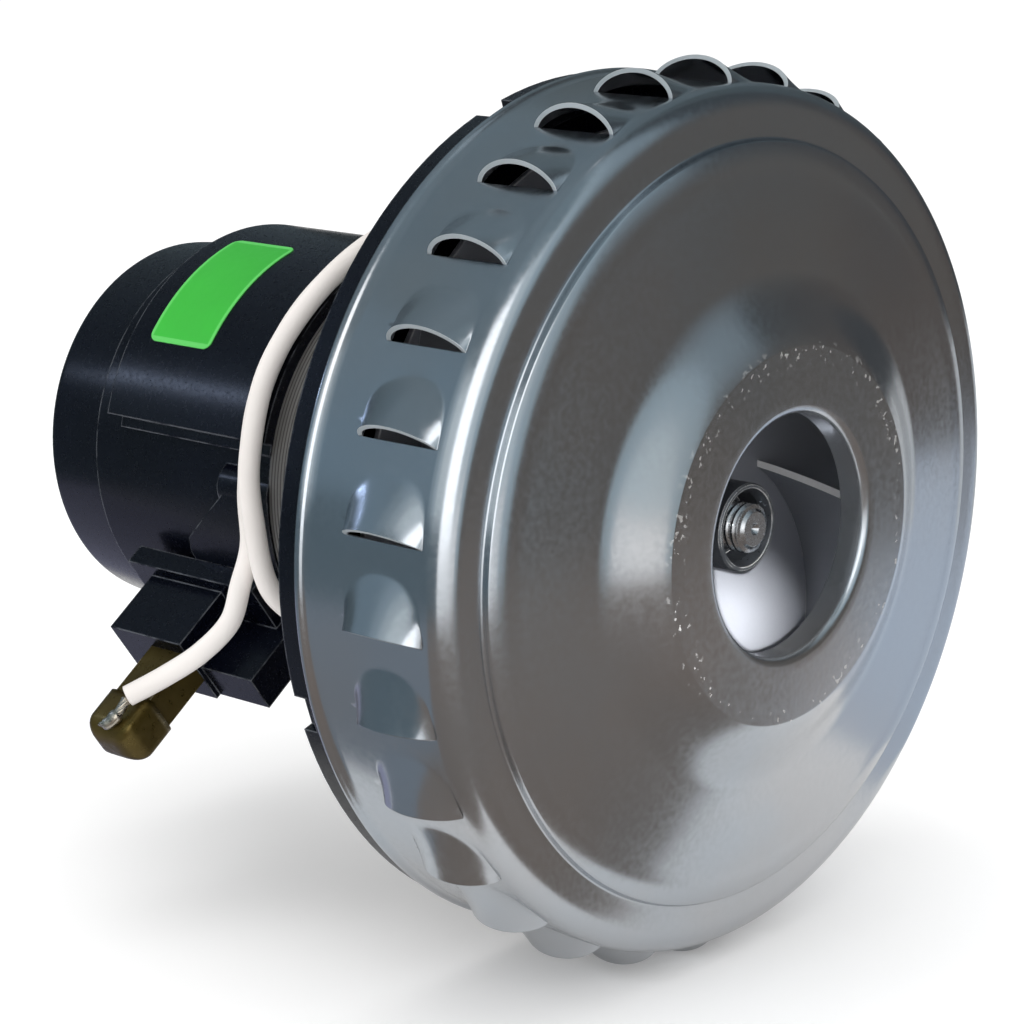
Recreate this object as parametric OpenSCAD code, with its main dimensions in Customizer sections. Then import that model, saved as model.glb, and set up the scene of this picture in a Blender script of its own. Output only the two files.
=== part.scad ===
// Vacuum motor unit: a suction fan and its brush motor on one shaft.
// A pressed steel shell with louvres holds the fan. A moulded bracket closes
// the shell and carries the field stack, the housing and the rear cap.
// Units are millimetres. X runs along the shaft towards the inlet, Z is up,
// and the origin is the middle of the inlet's throat.

/* [Fan shell] */
// Diameter of the plain side wall
shell_d = 140; // [130:1:160]
// Depth from the rear rim to the inlet seat
shell_depth = 40; // [38:1:48]
// Thickness of the pressed sheet
sheet_t = 1; // [0.8:0.1:1.2]
// Diameter of the inlet
inlet_d = 39; // [34:1:42]
// Number of louvres round the side
louvre_count = 30; // [20:1:30]
// Width of a louvre along the shaft
louvre_w = 15.7; // [12:0.1:16]
// Height of a louvre above the side
louvre_rise = 3.2; // [2.4:0.2:5]

/* [Fan] */
// Number of fan blades
blade_count = 6; // [5:1:8]
// Thickness of the blades and plates
fan_t = 1; // [0.8:0.1:1.2]
// Turn of the stored rotor about the shaft, in degrees
rotor_turn = 0; // [0:1:60]

/* [Motor] */
// Diameter of the housing barrel
housing_d = 68.6; // [66:0.2:74]
// Rise of the saddle above the barrel
saddle_rise = 3.7; // [3:0.1:5]
// Length from the shell's rear rim to the rear end
motor_len = 101; // [99:1:112]
// Length of the rear cap
cap_len = 14.7; // [14:0.1:16]
// Length of the field stack
stack_len = 26; // [23:1:27]
// Diameter of the shaft at the bearings
shaft_d = 8; // [7:0.5:8.5]

/* [Brush gear] */
// Angle of the first brush about the shaft, from +Y towards +Z
brush_angle = 216.5; // [212:0.5:221]
// How far a brush cap's end stands out from the barrel
brush_out = 36.2; // [32:0.2:40]

/* [Leads and label] */
// Diameter of a lead over its sleeve
lead_d = 3.6; // [3:0.1:4]
// Width of the label along the shaft
label_w = 15; // [10:0.5:16]
// Length of the label round the saddle
label_len = 26; // [20:0.5:30]

/* [Hidden] */
$fn = 64;

// Colours
steel = [0.52, 0.56, 0.58];
bright_steel = [0.72, 0.73, 0.75];
black_plastic = [0.06, 0.07, 0.10];
copper = [0.62, 0.33, 0.16];
brass = [0.45, 0.37, 0.17];
carbon = [0.12, 0.12, 0.12];
stack_grey = [0.30, 0.29, 0.28];
sleeve_white = [0.92, 0.89, 0.88];
label_green = [0.22, 0.66, 0.24];

// Gaps: parts that slide or turn, parts that are pressed together, and clear air
run_gap = 0.15;
fit_gap = 0.03;

// Radii of the shell, from the side in to the inlet
shell_r = shell_d / 2;
shell_in_r = shell_r - sheet_t;
side_fillet = 4;
rim_round = 0.8;
step_r = shell_r - 9;
foot_r = shell_r - 28;
inlet_r = inlet_d / 2;
boss_r = inlet_r + 10.8;
lip_r = 1.5;
lip_depth = 5;
throat_mid = (lip_r + lip_depth) / 2;

// Stations along the shaft, from the inlet seat back to the rear end
rim_z = -shell_depth;
ring_z = rim_z + 29.8;
plate_z = ring_z + 2.2;
foot_z = plate_z + 2.5;
louvre_z = rim_z + 17.2;
fan_back_z = rim_z + 5.5;
nut_face_z = rim_z + 31;
nut_z = nut_face_z - 9;
nut_floor_z = nut_face_z - 5;
stud_z = nut_face_z + 1.5;
bearing_w = 7;
front_bearing_z = rim_z - 5;
flange_t = 3.8;
stack_front_z = rim_z - 15;
stack_rear_z = stack_front_z - stack_len;
rear_z = rim_z - motor_len;
seam_z = rear_z + cap_len;
rear_bearing_z = rear_z + 5;
brush_z = stack_rear_z - 17.5;

// Louvre: a half dome whose foot is louvre_w wide, with a mouth that leans back
mouth_lean = 10;
hood_r = (louvre_rise * louvre_rise + louvre_w * louvre_w / 4) / (2 * louvre_rise);
hood_mid = shell_r + louvre_rise - hood_r;
hood_t = 0.8;

// Fan
fan_r = shell_r - 8;
fan_front_z = rim_z + 24;
fan_front_rise = 5.5;
eye_r = inlet_r + 5.5;
eye_z = -2.2;
blade_in_r = inlet_r + 15;
blade_front_r = blade_in_r + 9;
blade_arc_r = 33;
blade_arc_mid = 31.6;
hub_r = 7.4;
hub_flange_r = 9.5;

// Bearings
bearing_r = 11;
pitch_r = 7.5;
ball_r = 1.98;
ball_count = 7;
shaft_r = shaft_d / 2;
core_shaft_r = shaft_r + 1;

// Field and armature
housing_r = housing_d / 2;
housing_in_r = housing_r - 2.5;
saddle_r = housing_r + saddle_rise;
field_r = housing_r + 1.7;
yoke_r = field_r - 7.2;
coil_out_r = yoke_r - 0.4;
coil_in_r = coil_out_r - 4.8;
shoe_r = coil_in_r - 0.4;
bore_r = shoe_r - 3;
coil_reach = 7.5;
armature_r = bore_r - 0.6;
slot_count = 12;
slot_mid_r = armature_r - 5;
winding_reach = 5.5;
bar_count = 24;
commutator_r = 13;
commutator_len = 17;
screw_ring_r = (yoke_r + field_r) / 2;
screw_r = 1.95;

// Supply tabs
tab_w = 6.3;
tab_t = 0.8;
tab_len = 10;

// Rear cap and cooling fan
cap_end_r = housing_r - 1.35;
cap_screw_ring_r = housing_in_r - 3.8;
cap_boss_r = 3.5;
cool_r = cap_screw_ring_r - 4.5;

// Brush gear, in the frame of one brush: x outward, y round the shaft, z along it
tube_w = 8.6;
tube_h = 6.8;
tube_wall = 0.8;
brush_w = tube_w - 2 * tube_wall - 2 * run_gap;
brush_h = tube_h - 2 * tube_wall - 2 * run_gap;
brush_root = commutator_r + 0.1;
brush_len = 28;
brush_reach = housing_r + brush_out;
tube_root = commutator_r + 4;
cap_wall = 0.9;
cap_depth = 8;
block_r = brush_reach - 20;
spring_r = 1.9;
spring_wire_r = 0.4;
spring_turns = 8;

// Lead routes: distance from the axis, angle about it, and place along it from the rim
lead_r = lead_d / 2;
on_saddle = saddle_r + lead_r + 0.4;
on_field = field_r + lead_r + 0.4;
on_coil = coil_out_r + lead_r + 0.2;
brush_x = brush_z - rim_z;
lead_start_r = brush_reach - 6.2;
lead_lean = asin((tube_h / 2 + cap_wall + lead_r + 0.5) / lead_start_r);
stack_x = stack_rear_z - rim_z;
stack_front_x = stack_front_z - rim_z;
lead_gap = 0.4;
second_r = on_saddle + lead_r + 1.4;
over_block = block_r + lead_r + 2.2;
lead_a_route = [
    [lead_start_r, brush_angle - lead_lean, brush_x + 3],
    [lead_start_r - 5.6, brush_angle - 6.6, brush_x + 7.6],
    [lead_start_r - 10.3, brush_angle - 9, brush_x + 13],
    [lead_start_r - 15.3, brush_angle - 13, brush_x + 17],
    [lead_start_r - 19.3, brush_angle - 19, brush_x + 17.6],
    [on_saddle + lead_gap, 190, stack_x - 0.4],
    [on_saddle, 176, stack_x - 0.6],
    [on_saddle, 155, stack_x - 1.4],
    [on_saddle, 133, stack_x - 1.2],
    [on_saddle, 111, stack_x - 0.6],
    [on_saddle, 88, stack_x - 0.2],
    [on_saddle, 66, stack_x + 1.5],
    [on_field, 58, stack_x + 7],
    [on_field, 55, stack_front_x - 7],
    [on_field - 0.6, 54, stack_front_x + 2],
    [on_coil, 53, stack_front_x + 4]];
lead_b_route = [
    [on_coil, 226, stack_front_x + 4],
    [on_field - 0.6, 224, stack_front_x + 2],
    [on_field, 220, stack_front_x - 7],
    [on_field + 1, 214, stack_x + 11],
    [on_field + 3.2, 206, stack_x + 6.4],
    [second_r, 197, stack_x + 5],
    [second_r, 184, stack_x + 4.1],
    [second_r, 170, stack_x + 2.6],
    [second_r, 150, stack_x + 1.8],
    [second_r, 130, stack_x + 3.2],
    [second_r, 110, stack_x + 4],
    [second_r + lead_gap, 88, stack_x + 3],
    [second_r + 1.4, 70, stack_x],
    [over_block - 3, 54, stack_x - 3],
    [over_block, brush_angle - 176, brush_x + 12],
    [lead_start_r - 6.3, brush_angle - 186, brush_x + 7],
    [lead_start_r, brush_angle - 180 - lead_lean, brush_x + 3]];
lead_sides = 10;
lead_steps = 4;
tip_r = 0.9;

// Turns a part built along Z from the inlet's seat so that it lies along X from the
// middle of the throat, with angles from +Y towards +Z
module on_shaft() rotate([90, 0, 90]) translate([0, 0, throat_mid]) children();

// Turns a part with the stored rotor
module on_rotor() on_shaft() rotate([0, 0, rotor_turn]) children();

// Sets a part at an angle about the shaft
module around(angle) rotate([0, 0, angle]) children();

// Sets a part at one of the two brushes
module at_brush(side) on_shaft() around(brush_angle + 180 * side) translate([0, 0, brush_z]) children();

module rod(r, z0, z1) translate([0, 0, z0]) cylinder(r = r, h = z1 - z0);

module tube(out_r, in_r, z0, z1) difference() {
    rod(out_r, z0, z1);
    rod(in_r, z0 - 1, z1 + 1);
}

module bar(x0, x1, y0, y1, z0, z1) translate([x0, y0, z0]) cube([x1 - x0, y1 - y0, z1 - z0]);

// A flat wedge from angle a0 to a1 that reaches beyond radius r
module wedge(a0, a1, r)
    polygon(concat([[0, 0]], [for (i = [0:4]) let (a = a0 + (a1 - a0) * i / 4) 1.3 * r * [cos(a), sin(a)]]));

// A part of a tube between two angles
module tube_part(out_r, in_r, a0, a1, z0, z1)
    translate([0, 0, z0]) linear_extrude(z1 - z0) intersection() {
        difference() {
            circle(out_r);
            circle(in_r);
        }
        wedge(a0, a1, out_r);
    }

// A rectangle with round corners, centred
module round_rect(w, h, r) {
    square([w - 2 * r, h], center = true);
    square([w, h - 2 * r], center = true);
    for (x = [-1, 1], y = [-1, 1]) translate([x * (w / 2 - r), y * (h / 2 - r)]) circle(r);
}

// Points of an arc
function arc(mid, r, a0, a1, steps) =
    [for (i = [0:steps]) let (a = a0 + (a1 - a0) * i / steps) mid + r * [cos(a), sin(a)]];

function unit(v) = v / norm(v);
function ease(s) = s * s * (3 - 2 * s);
function left_of(a, b) = let (d = unit(b - a)) [-d[1], d[0]];

// The step to the left that keeps a sheet's thickness at corner i of a line
function corner_step(p, i) = let (
    n0 = left_of(p[max(i - 1, 0)], p[max(i, 1)]),
    n1 = left_of(p[min(i, len(p) - 2)], p[min(i + 1, len(p) - 1)])
) (n0 + n1) / (1 + n0 * n1);

// A sheet of one thickness to the left of a line
function sheet(p, t) = concat(p, [for (i = [len(p) - 1:-1:0]) p[i] + t * corner_step(p, i)]);

// A smooth curve through points, with steps pieces between each two
function between(p0, p1, p2, p3, t) = 0.5 * (2 * p1 + (p2 - p0) * t
    + (2 * p0 - 5 * p1 + 4 * p2 - p3) * t * t + (3 * p1 - p0 - 3 * p2 + p3) * t * t * t);
function curve(p, steps) = concat([for (i = [0:len(p) - 2], k = [0:steps - 1])
    between(p[max(i - 1, 0)], p[i], p[i + 1], p[min(i + 2, len(p) - 1)], k / steps)], [p[len(p) - 1]]);

// A route given round the shaft as points in space
function round_shaft(route) = [for (p = route) [p[0] * cos(p[1]), p[0] * sin(p[1]), rim_z + p[2]]];

function headings(p) = [for (i = [0:len(p) - 1]) unit(p[min(i + 1, len(p) - 1)] - p[max(i - 1, 0)])];
function sides_of(t, n, i = 0) = i == len(t) ? [] :
    let (m = unit(n - (n * t[i]) * t[i])) concat([m], sides_of(t, m, i + 1));

// A round cord along points
module cord(p, r, sides) {
    t = headings(p);
    n = sides_of(t, unit(cross(t[0], [0.3, 0.5, 0.81])));
    points = [for (i = [0:len(p) - 1], k = [0:sides - 1])
        p[i] + r * (cos(360 * k / sides) * n[i] + sin(360 * k / sides) * cross(t[i], n[i]))];
    walls = [for (i = [0:len(p) - 2], k = [0:sides - 1], half = [0, 1])
        let (a = i * sides, b = a + sides, j = (k + 1) % sides)
        half == 0 ? [a + k, b + k, b + j] : [a + k, b + j, a + j]];
    start = [for (k = [0:sides - 1]) k];
    end = [for (k = [sides - 1:-1:0]) (len(p) - 1) * sides + k];
    polyhedron(points, concat([start], walls, [end]));
}

// Fan shell
shell_line = concat(
    [[shell_r, rim_z]],
    arc([shell_r - side_fillet, ring_z - side_fillet], side_fillet, 0, 90, 6),
    [[step_r + 1, ring_z], [step_r, ring_z + 0.6], [step_r - 0.6, plate_z - 0.5], [step_r - 1.8, plate_z]],
    [for (s = [0:0.1:1]) [foot_r + (boss_r - foot_r) * s, foot_z - foot_z * ease(s)]],
    arc([inlet_r + lip_r, -lip_r], lip_r, 90, 180, 5),
    [[inlet_r, -lip_depth]]);

// The half of a dome that lies behind a louvre's mouth
module half_dome(r, ahead) intersection() {
    rotate([0, 0, 180]) sphere(r);
    translate([shell_r - hood_mid, 0, 0]) rotate([0, 0, -mouth_lean])
        bar(-3 * r, 3 * r, -3 * r, ahead, -2 * r, 2 * r);
    bar(shell_in_r - 1 - hood_mid, 2 * r, -2 * r, 2 * r, -2 * r, 2 * r);
}

module each_louvre() for (i = [0:louvre_count - 1])
    around(5.3 + i * 360 / louvre_count) translate([hood_mid, 0, louvre_z]) children();

module fan_shell() color(steel) on_shaft() difference() {
    union() {
        rotate_extrude() polygon(sheet(shell_line, sheet_t));
        difference() {
            each_louvre() half_dome(hood_r, 0);
            rod(shell_in_r + 0.1, rim_z, 0);
        }
    }
    each_louvre() half_dome(hood_r - hood_t, 0.3);
    rotate_extrude() difference() {
        translate([shell_r - rim_round, rim_z - 1]) square([rim_round + 1, rim_round + 1]);
        translate([shell_r - rim_round, rim_z + rim_round]) circle(rim_round);
    }
}

// Fan: a trumpet-shaped front plate, a flat back plate and blades between them
fan_line = [[fan_r, fan_front_z], [foot_r, fan_front_z + fan_front_rise], [eye_r + 9, eye_z - 4.8],
    [eye_r + 3, eye_z - 1.8], [eye_r, eye_z]];

module fan_front_plate() color(bright_steel) on_rotor()
    rotate_extrude() polygon(sheet(fan_line, fan_t));

module fan_back_plate() color(bright_steel) on_rotor()
    tube(fan_r, shaft_r + fit_gap, fan_back_z, fan_back_z + fan_t);

// One blade is an arc that trails the turn
module blade_arc() intersection() {
    translate([blade_arc_mid, 0]) difference() {
        circle(blade_arc_r + fan_t / 2);
        circle(blade_arc_r - fan_t / 2);
    }
    translate([-fan_r, 2]) square([2 * fan_r, fan_r]);
}

// Height of the front plate's underside at radius r, outside the foot of its trumpet
function under_front(r) = fan_front_z - fan_t - 0.15 + fan_front_rise * (fan_r - r) / (fan_r - foot_r);

module fan_blades() color(bright_steel) on_rotor() intersection() {
    translate([0, 0, fan_back_z]) linear_extrude(shell_depth) intersection() {
        for (i = [0:blade_count - 1]) around(2.5 + i * 360 / blade_count) blade_arc();
        circle(fan_r - 1);
    }
    rotate_extrude() polygon([
        [blade_in_r, fan_back_z + fan_t], [fan_r, fan_back_z + fan_t],
        [fan_r, under_front(fan_r)], [blade_front_r, under_front(blade_front_r)]]);
}

module fan_hub() color(bright_steel) on_rotor() difference() {
    union() {
        rod(hub_flange_r, fan_back_z + fan_t, fan_back_z + fan_t + 2);
        rod(hub_r, fan_back_z + fan_t, nut_z);
    }
    rod(shaft_r + fit_gap, fan_back_z, nut_z + 1);
}

// The nut's front is a cup round the stud
module fan_nut() color(steel) on_rotor()
    rotate_extrude() polygon([[shaft_r + 0.08, nut_z], [hub_r - 0.2, nut_z], [hub_r - 0.2, nut_face_z - 0.3],
        [hub_r - 0.5, nut_face_z], [hub_r - 1, nut_face_z], [shaft_r + 1.6, nut_face_z - 1.8],
        [shaft_r + 1.2, nut_floor_z], [shaft_r + 0.08, nut_floor_z]]);

module fan_spacer() color(bright_steel) on_rotor()
    tube(shaft_r + 1.8, shaft_r + fit_gap, front_bearing_z + bearing_w, fan_back_z);

// Shaft: plain seats, a thicker middle and a threaded front end
thread_pitch = 1.25;
thread_turns = floor((stud_z - 0.5 - nut_z) / thread_pitch);
thread_line = [for (i = [0:thread_turns - 1], e = [[shaft_r, 0.15], [shaft_r - 0.55, 0.6], [shaft_r, 1.05]])
    [e[0], nut_z + i * thread_pitch + e[1]]];

module shaft() color(bright_steel) on_rotor() rotate_extrude() polygon(concat(
    [[0, rear_z + 2.4], [shaft_r, rear_z + 2.4], [shaft_r, rear_bearing_z + bearing_w],
        [core_shaft_r, rear_bearing_z + bearing_w], [core_shaft_r, front_bearing_z],
        [shaft_r, front_bearing_z]],
    thread_line,
    [[shaft_r - 0.7, stud_z - 0.5], [shaft_r - 1.2, stud_z], [1, stud_z], [0, stud_z - 1]]));

// Bearings, each a ring pair with balls in a cage
module race(out_r, in_r, z) difference() {
    tube(out_r, in_r, z, z + bearing_w);
    translate([0, 0, z + bearing_w / 2]) rotate_extrude() translate([pitch_r, 0]) circle(ball_r + 0.05);
}

module each_ball(z, r) for (i = [0:ball_count - 1])
    around(i * 360 / ball_count) translate([pitch_r, 0, z + bearing_w / 2]) sphere(r);

module cage(z) difference() {
    tube(pitch_r + 0.8, pitch_r - 0.8, z + 0.6, z + bearing_w - 0.6);
    for (i = [0:ball_count - 1]) around(i * 360 / ball_count)
        translate([pitch_r - 2, 0, z + bearing_w / 2]) rotate([0, 90, 0]) cylinder(r = ball_r + 0.12, h = 4);
}

module front_bearing_outer() color(bright_steel) on_shaft() race(bearing_r, pitch_r + 1.5, front_bearing_z);
module front_bearing_inner() color(bright_steel) on_shaft()
    race(pitch_r - 1.5, shaft_r + fit_gap, front_bearing_z);
module front_bearing_balls() color(bright_steel) on_shaft() each_ball(front_bearing_z, ball_r);
module front_bearing_cage() color(brass) on_shaft() cage(front_bearing_z);
module rear_bearing_outer() color(bright_steel) on_shaft() race(bearing_r, pitch_r + 1.5, rear_bearing_z);
module rear_bearing_inner() color(bright_steel) on_shaft()
    race(pitch_r - 1.5, shaft_r + fit_gap, rear_bearing_z);
module rear_bearing_balls() color(bright_steel) on_shaft() each_ball(rear_bearing_z, ball_r);
module rear_bearing_cage() color(brass) on_shaft() cage(rear_bearing_z);

// Front bracket: flange behind the rim, spigot in the shell, hub for the bearing
hub_out_r = bearing_r + 6;
hub_front_z = front_bearing_z + bearing_w + 1.8;
plate_screw_ring_r = bearing_r + 3;
rib_count = 8;

module each_pillar() for (angle = [0, 180]) around(angle) translate([screw_ring_r, 0, 0]) children();
module each_plate_screw() for (angle = [45, 225]) around(angle)
    translate([plate_screw_ring_r, 0, 0]) children();

module front_bracket() color(black_plastic) on_shaft() difference() {
    union() {
        tube(shell_r - 0.2, shell_r - 8, rim_z - flange_t, rim_z);
        tube(shell_in_r - 0.1, shell_r - 5, rim_z - 1, rim_z + 4);
        rod(shell_r - 7, rim_z - 3, rim_z);
        rod(hub_out_r, front_bearing_z, hub_front_z);
        each_pillar() rod(4.4, stack_front_z, rim_z - 1);
        for (i = [0:rib_count - 1]) around((i + 0.5) * 360 / rib_count)
            bar(hub_out_r - 1, shell_r - 7, -1.2, 1.2, front_bearing_z, rim_z - 1);
    }
    rod(bearing_r + fit_gap, front_bearing_z - 1, front_bearing_z + bearing_w);
    rod(bearing_r - 3, front_bearing_z, hub_front_z + 1);
    each_pillar() rod(screw_r + 0.15, stack_front_z - 1, rim_z + 1);
    each_plate_screw() rod(1.25 + fit_gap, front_bearing_z - 1, front_bearing_z + 7);
    for (angle = [109, 199, 330]) around(angle)
        bar(shell_r - 2, shell_r + 1, -3, 3, rim_z - flange_t - 1, rim_z - 1);
}

module bearing_plate() color(bright_steel) on_shaft() difference() {
    tube(hub_out_r, bearing_r - 2.2, front_bearing_z - 1.2, front_bearing_z);
    each_plate_screw() rod(1.6, front_bearing_z - 2, front_bearing_z + 1);
}

module plate_screws() color(bright_steel) on_shaft() each_plate_screw() {
    rod(1.25, front_bearing_z - 1.5, front_bearing_z + 6);
    rod(2.4, front_bearing_z - 2.8, front_bearing_z - 1.2);
}

// Armature
module slots(r) for (i = [0:slot_count - 1]) around(i * 360 / slot_count)
    translate([slot_mid_r, 0]) circle(r);

module armature_core() color(stack_grey) on_rotor()
    translate([0, 0, stack_rear_z]) linear_extrude(stack_len) difference() {
        circle(armature_r);
        circle(core_shaft_r + fit_gap);
        slots(2.3);
        for (i = [0:slot_count - 1]) around(i * 360 / slot_count)
            translate([slot_mid_r, -0.8]) square([10, 1.6]);
    }

module end_turns(z0, z1) tube(armature_r - 1.6, core_shaft_r + 4, z0, z1);

module armature_winding() color(copper) on_rotor() {
    end_turns(stack_front_z + 0.05, stack_front_z + winding_reach);
    end_turns(stack_rear_z - winding_reach, stack_rear_z - 0.05);
    translate([0, 0, stack_rear_z - 1]) linear_extrude(stack_len + 2) slots(2.1);
}

module commutator_bars() color(copper) on_rotor()
    translate([0, 0, brush_z - commutator_len / 2]) linear_extrude(commutator_len) difference() {
        circle(commutator_r);
        circle(commutator_r - 3.8);
        for (i = [0:bar_count - 1]) around((i + 0.5) * 360 / bar_count)
            translate([0, -0.3]) square([commutator_r + 1, 0.6]);
    }

module commutator_hub() color(carbon) on_rotor() {
    tube(commutator_r - 3.8 - fit_gap, core_shaft_r + fit_gap,
        brush_z - commutator_len / 2 - 1, stack_rear_z - winding_reach);
}

// Cooling fan behind the commutator
cool_front_z = brush_z - commutator_len / 2 - 5;
cool_rear_z = max(seam_z + 2.3, cool_front_z - 11);

module cooling_fan() color(carbon) on_rotor() difference() {
    union() {
        rod(8.5, cool_rear_z, cool_front_z);
        rod(cool_r, cool_front_z - 1.4, cool_front_z);
        for (i = [0:8]) around(i * 40) bar(6, cool_r - 0.4, -0.6, 0.6, cool_rear_z, cool_front_z - 1);
    }
    rod(core_shaft_r + fit_gap, cool_rear_z - 1, cool_front_z + 1);
}

module preload_washer() color(bright_steel) on_shaft()
    tube(bearing_r - 0.5, pitch_r + 0.5, rear_bearing_z - 1, rear_bearing_z);

// Field: two poles, above and below, each with a coil
module field_core() color(stack_grey) on_shaft()
    translate([0, 0, stack_rear_z]) linear_extrude(stack_len) difference() {
        circle(field_r);
        circle(bore_r);
        for (angle = [0, 180]) rotate(angle) {
            intersection() {
                difference() {
                    circle(yoke_r);
                    circle(shoe_r);
                }
                wedge(-50, 50, yoke_r);
            }
            intersection() {
                circle(shoe_r + 0.1);
                wedge(-32, 32, shoe_r);
            }
            translate([screw_ring_r, 0]) circle(screw_r + 0.15);
        }
    }

module field_coil(angle) on_shaft() around(angle) difference() {
    tube_part(coil_out_r, coil_in_r, -55, 55, stack_rear_z - coil_reach, stack_front_z + coil_reach);
    tube_part(coil_out_r + 1, coil_in_r - 1, -41, 41, stack_rear_z - 0.4, stack_front_z + 0.4);
}

module field_coil_upper() color(copper) field_coil(90);
module field_coil_lower() color(copper) field_coil(270);

// Long screws through the bracket and the field into the housing
screw_end_z = stack_rear_z - 10;

module through_screws() color(bright_steel) on_shaft() each_pillar() {
    rod(screw_r, screw_end_z, rim_z + 0.5);
    rod(3.6, rim_z, rim_z + 2.6);
}

// Motor housing: barrel, saddle over the top, bosses, and pads for the brush blocks
saddle_rear_z = seam_z + 6.3;
pad_angle = brush_angle - 21;

module each_cap_screw() for (angle = [90, 270]) around(angle) translate([cap_screw_ring_r, 0, 0]) children();
module each_tab() for (angle = [318, 338]) around(angle) translate([0, 0, stack_rear_z - 8]) children();

module brush_way(side) around(brush_angle + 180 * side) translate([0, 0, brush_z])
    bar(tube_root - 2, saddle_r + 10, -tube_h / 2 - 0.1, tube_h / 2 + 0.1,
        -tube_w / 2 - 0.1, tube_w / 2 + 0.1);

// A raised plate beside the first brush block, with a sloping edge
module side_pad() intersection() {
    tube(housing_r + 2.2, housing_in_r + 1, stack_rear_z - 30, stack_rear_z);
    around(pad_angle) rotate([0, 90, 0]) linear_extrude(60)
        polygon([[-stack_rear_z, -9.6], [10 - stack_rear_z, -9.6], [21 - stack_rear_z, 0.6],
            [21.5 - stack_rear_z, 3.3], [19.5 - stack_rear_z, 8.8], [-stack_rear_z, 9.6]]);
}

module motor_housing() color(black_plastic) on_shaft() difference() {
    union() {
        tube(housing_r, housing_in_r, seam_z, stack_rear_z);
        tube_part(saddle_r, housing_in_r + 1, 14, 166, saddle_rear_z, stack_rear_z);
        tube_part(saddle_r - 1.7, housing_in_r + 1, 11, 169, saddle_rear_z + 2, stack_rear_z);
        tube(field_r, housing_in_r, stack_rear_z - 3, stack_rear_z);
        each_pillar() rod(4.2, screw_end_z - 2, stack_rear_z);
        each_cap_screw() rod(cap_boss_r, seam_z + 0.1, seam_z + 14);
        each_cap_screw() bar(0, 4.6, -2, 2, seam_z + 4, seam_z + 14);
        side_pad();
    }
    tube_part(saddle_r - 2.2, housing_in_r - 0.01, 20, 160, saddle_rear_z + 2.2, stack_rear_z - 3.5);
    each_pillar() rod(screw_r + fit_gap, screw_end_z - 0.5, stack_rear_z + 1);
    each_cap_screw() rod(1.5 + fit_gap, seam_z - 1, seam_z + 12);
    brush_way(0);
    brush_way(1);
    each_tab() bar(housing_in_r - 2, housing_r + 2, -tab_w / 2 - 0.05, tab_w / 2 + 0.05,
        -tab_t / 2 - 0.05, tab_t / 2 + 0.05);
}

// Rear cap
module rear_cap() color(black_plastic) on_shaft() difference() {
    union() {
        rotate_extrude() polygon(concat([[0, rear_z]],
            arc([cap_end_r - 2, rear_z + 2], 2, -90, 0, 5),
            [[housing_r - 0.1, seam_z], [housing_in_r - 0.1, seam_z], [housing_in_r - 0.1, seam_z + 3],
                [housing_in_r - 2, seam_z + 3], [housing_in_r - 2.6, rear_z + 3],
                [0, rear_z + 3]]));
        rod(bearing_r + 2.5, rear_z + 1, rear_bearing_z + bearing_w - 0.2);
        each_cap_screw() rod(cap_boss_r, rear_z + 1, seam_z);
    }
    rod(bearing_r + fit_gap, rear_bearing_z - 1, rear_bearing_z + bearing_w + 1);
    rod(pitch_r, rear_z + 2, rear_bearing_z);
    each_cap_screw() rod(1.7, rear_z - 1, seam_z + 4);
    each_cap_screw() rod(3.2, rear_z - 1, rear_z + 2.4);
    each_cap_screw() rod(cap_boss_r + run_gap, seam_z, seam_z + 4);
    for (i = [0:5]) around(i * 60)
        tube_part(cap_screw_ring_r - 4.6, bearing_r + 4.5, -18, 18, rear_z - 1, rear_z + 4);
}

module cap_screws() color(bright_steel) on_shaft() each_cap_screw() {
    rod(1.5, rear_z + 1, seam_z + 11);
    rod(2.9, rear_z + 0.4, rear_z + 2.4);
}

// Label on the saddle
label_angle = 125;
label_z = saddle_rear_z + 4.8 + label_w / 2;

module label() color(label_green) on_shaft() intersection() {
    tube(saddle_r + 0.2, saddle_r + 0.02, saddle_rear_z, stack_rear_z);
    around(label_angle) translate([0, 0, label_z]) rotate([0, 90, 0])
        linear_extrude(60) round_rect(label_w, label_len, 1.6);
}

// Brush blocks, one on the barrel and one on the saddle
module brush_block(side, seat_r) color(black_plastic) at_brush(side) difference() {
    union() {
        bar(housing_in_r, housing_r + 5, -8.5, 9, -17.5, 13.5);
        bar(housing_r, block_r + 1, -6, 8, -13, 4.5);
        bar(housing_r, block_r, 1, 8, 4.4, 16.5);
    }
    translate([0, 0, -60]) cylinder(r = seat_r + 0.03, h = 120);
    bar(0, 100, -tube_h / 2 - fit_gap, tube_h / 2 + fit_gap, -tube_w / 2 - fit_gap, tube_w / 2 + fit_gap);
}

module brush_block_a() brush_block(0, housing_r + 2.2);
module brush_block_b() brush_block(1, saddle_r);

module brush_tube(side) color(brass) at_brush(side) difference() {
    bar(tube_root, brush_reach - 1.3, -tube_h / 2, tube_h / 2, -tube_w / 2, tube_w / 2);
    bar(0, 100, tube_wall - tube_h / 2, tube_h / 2 - tube_wall,
        tube_wall - tube_w / 2, tube_w / 2 - tube_wall);
}

module brush_tube_a() brush_tube(0);
module brush_tube_b() brush_tube(1);

// A cup over the tube's end, with a slot in its end wall
module brush_cap(side) color(brass) at_brush(side) difference() {
    translate([brush_reach - cap_depth, 0, 0]) rotate([0, 90, 0]) linear_extrude(cap_depth)
        round_rect(tube_w + 2 * cap_wall, tube_h + 2 * cap_wall, 1.5);
    bar(0, brush_reach - 1.2, -tube_h / 2 - fit_gap, tube_h / 2 + fit_gap, -tube_w / 2 - fit_gap,
        tube_w / 2 + fit_gap);
    translate([0, 0, -1.2]) bar(0, 100, -0.8, 0.8, -1.5, 3.5);
}

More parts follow.
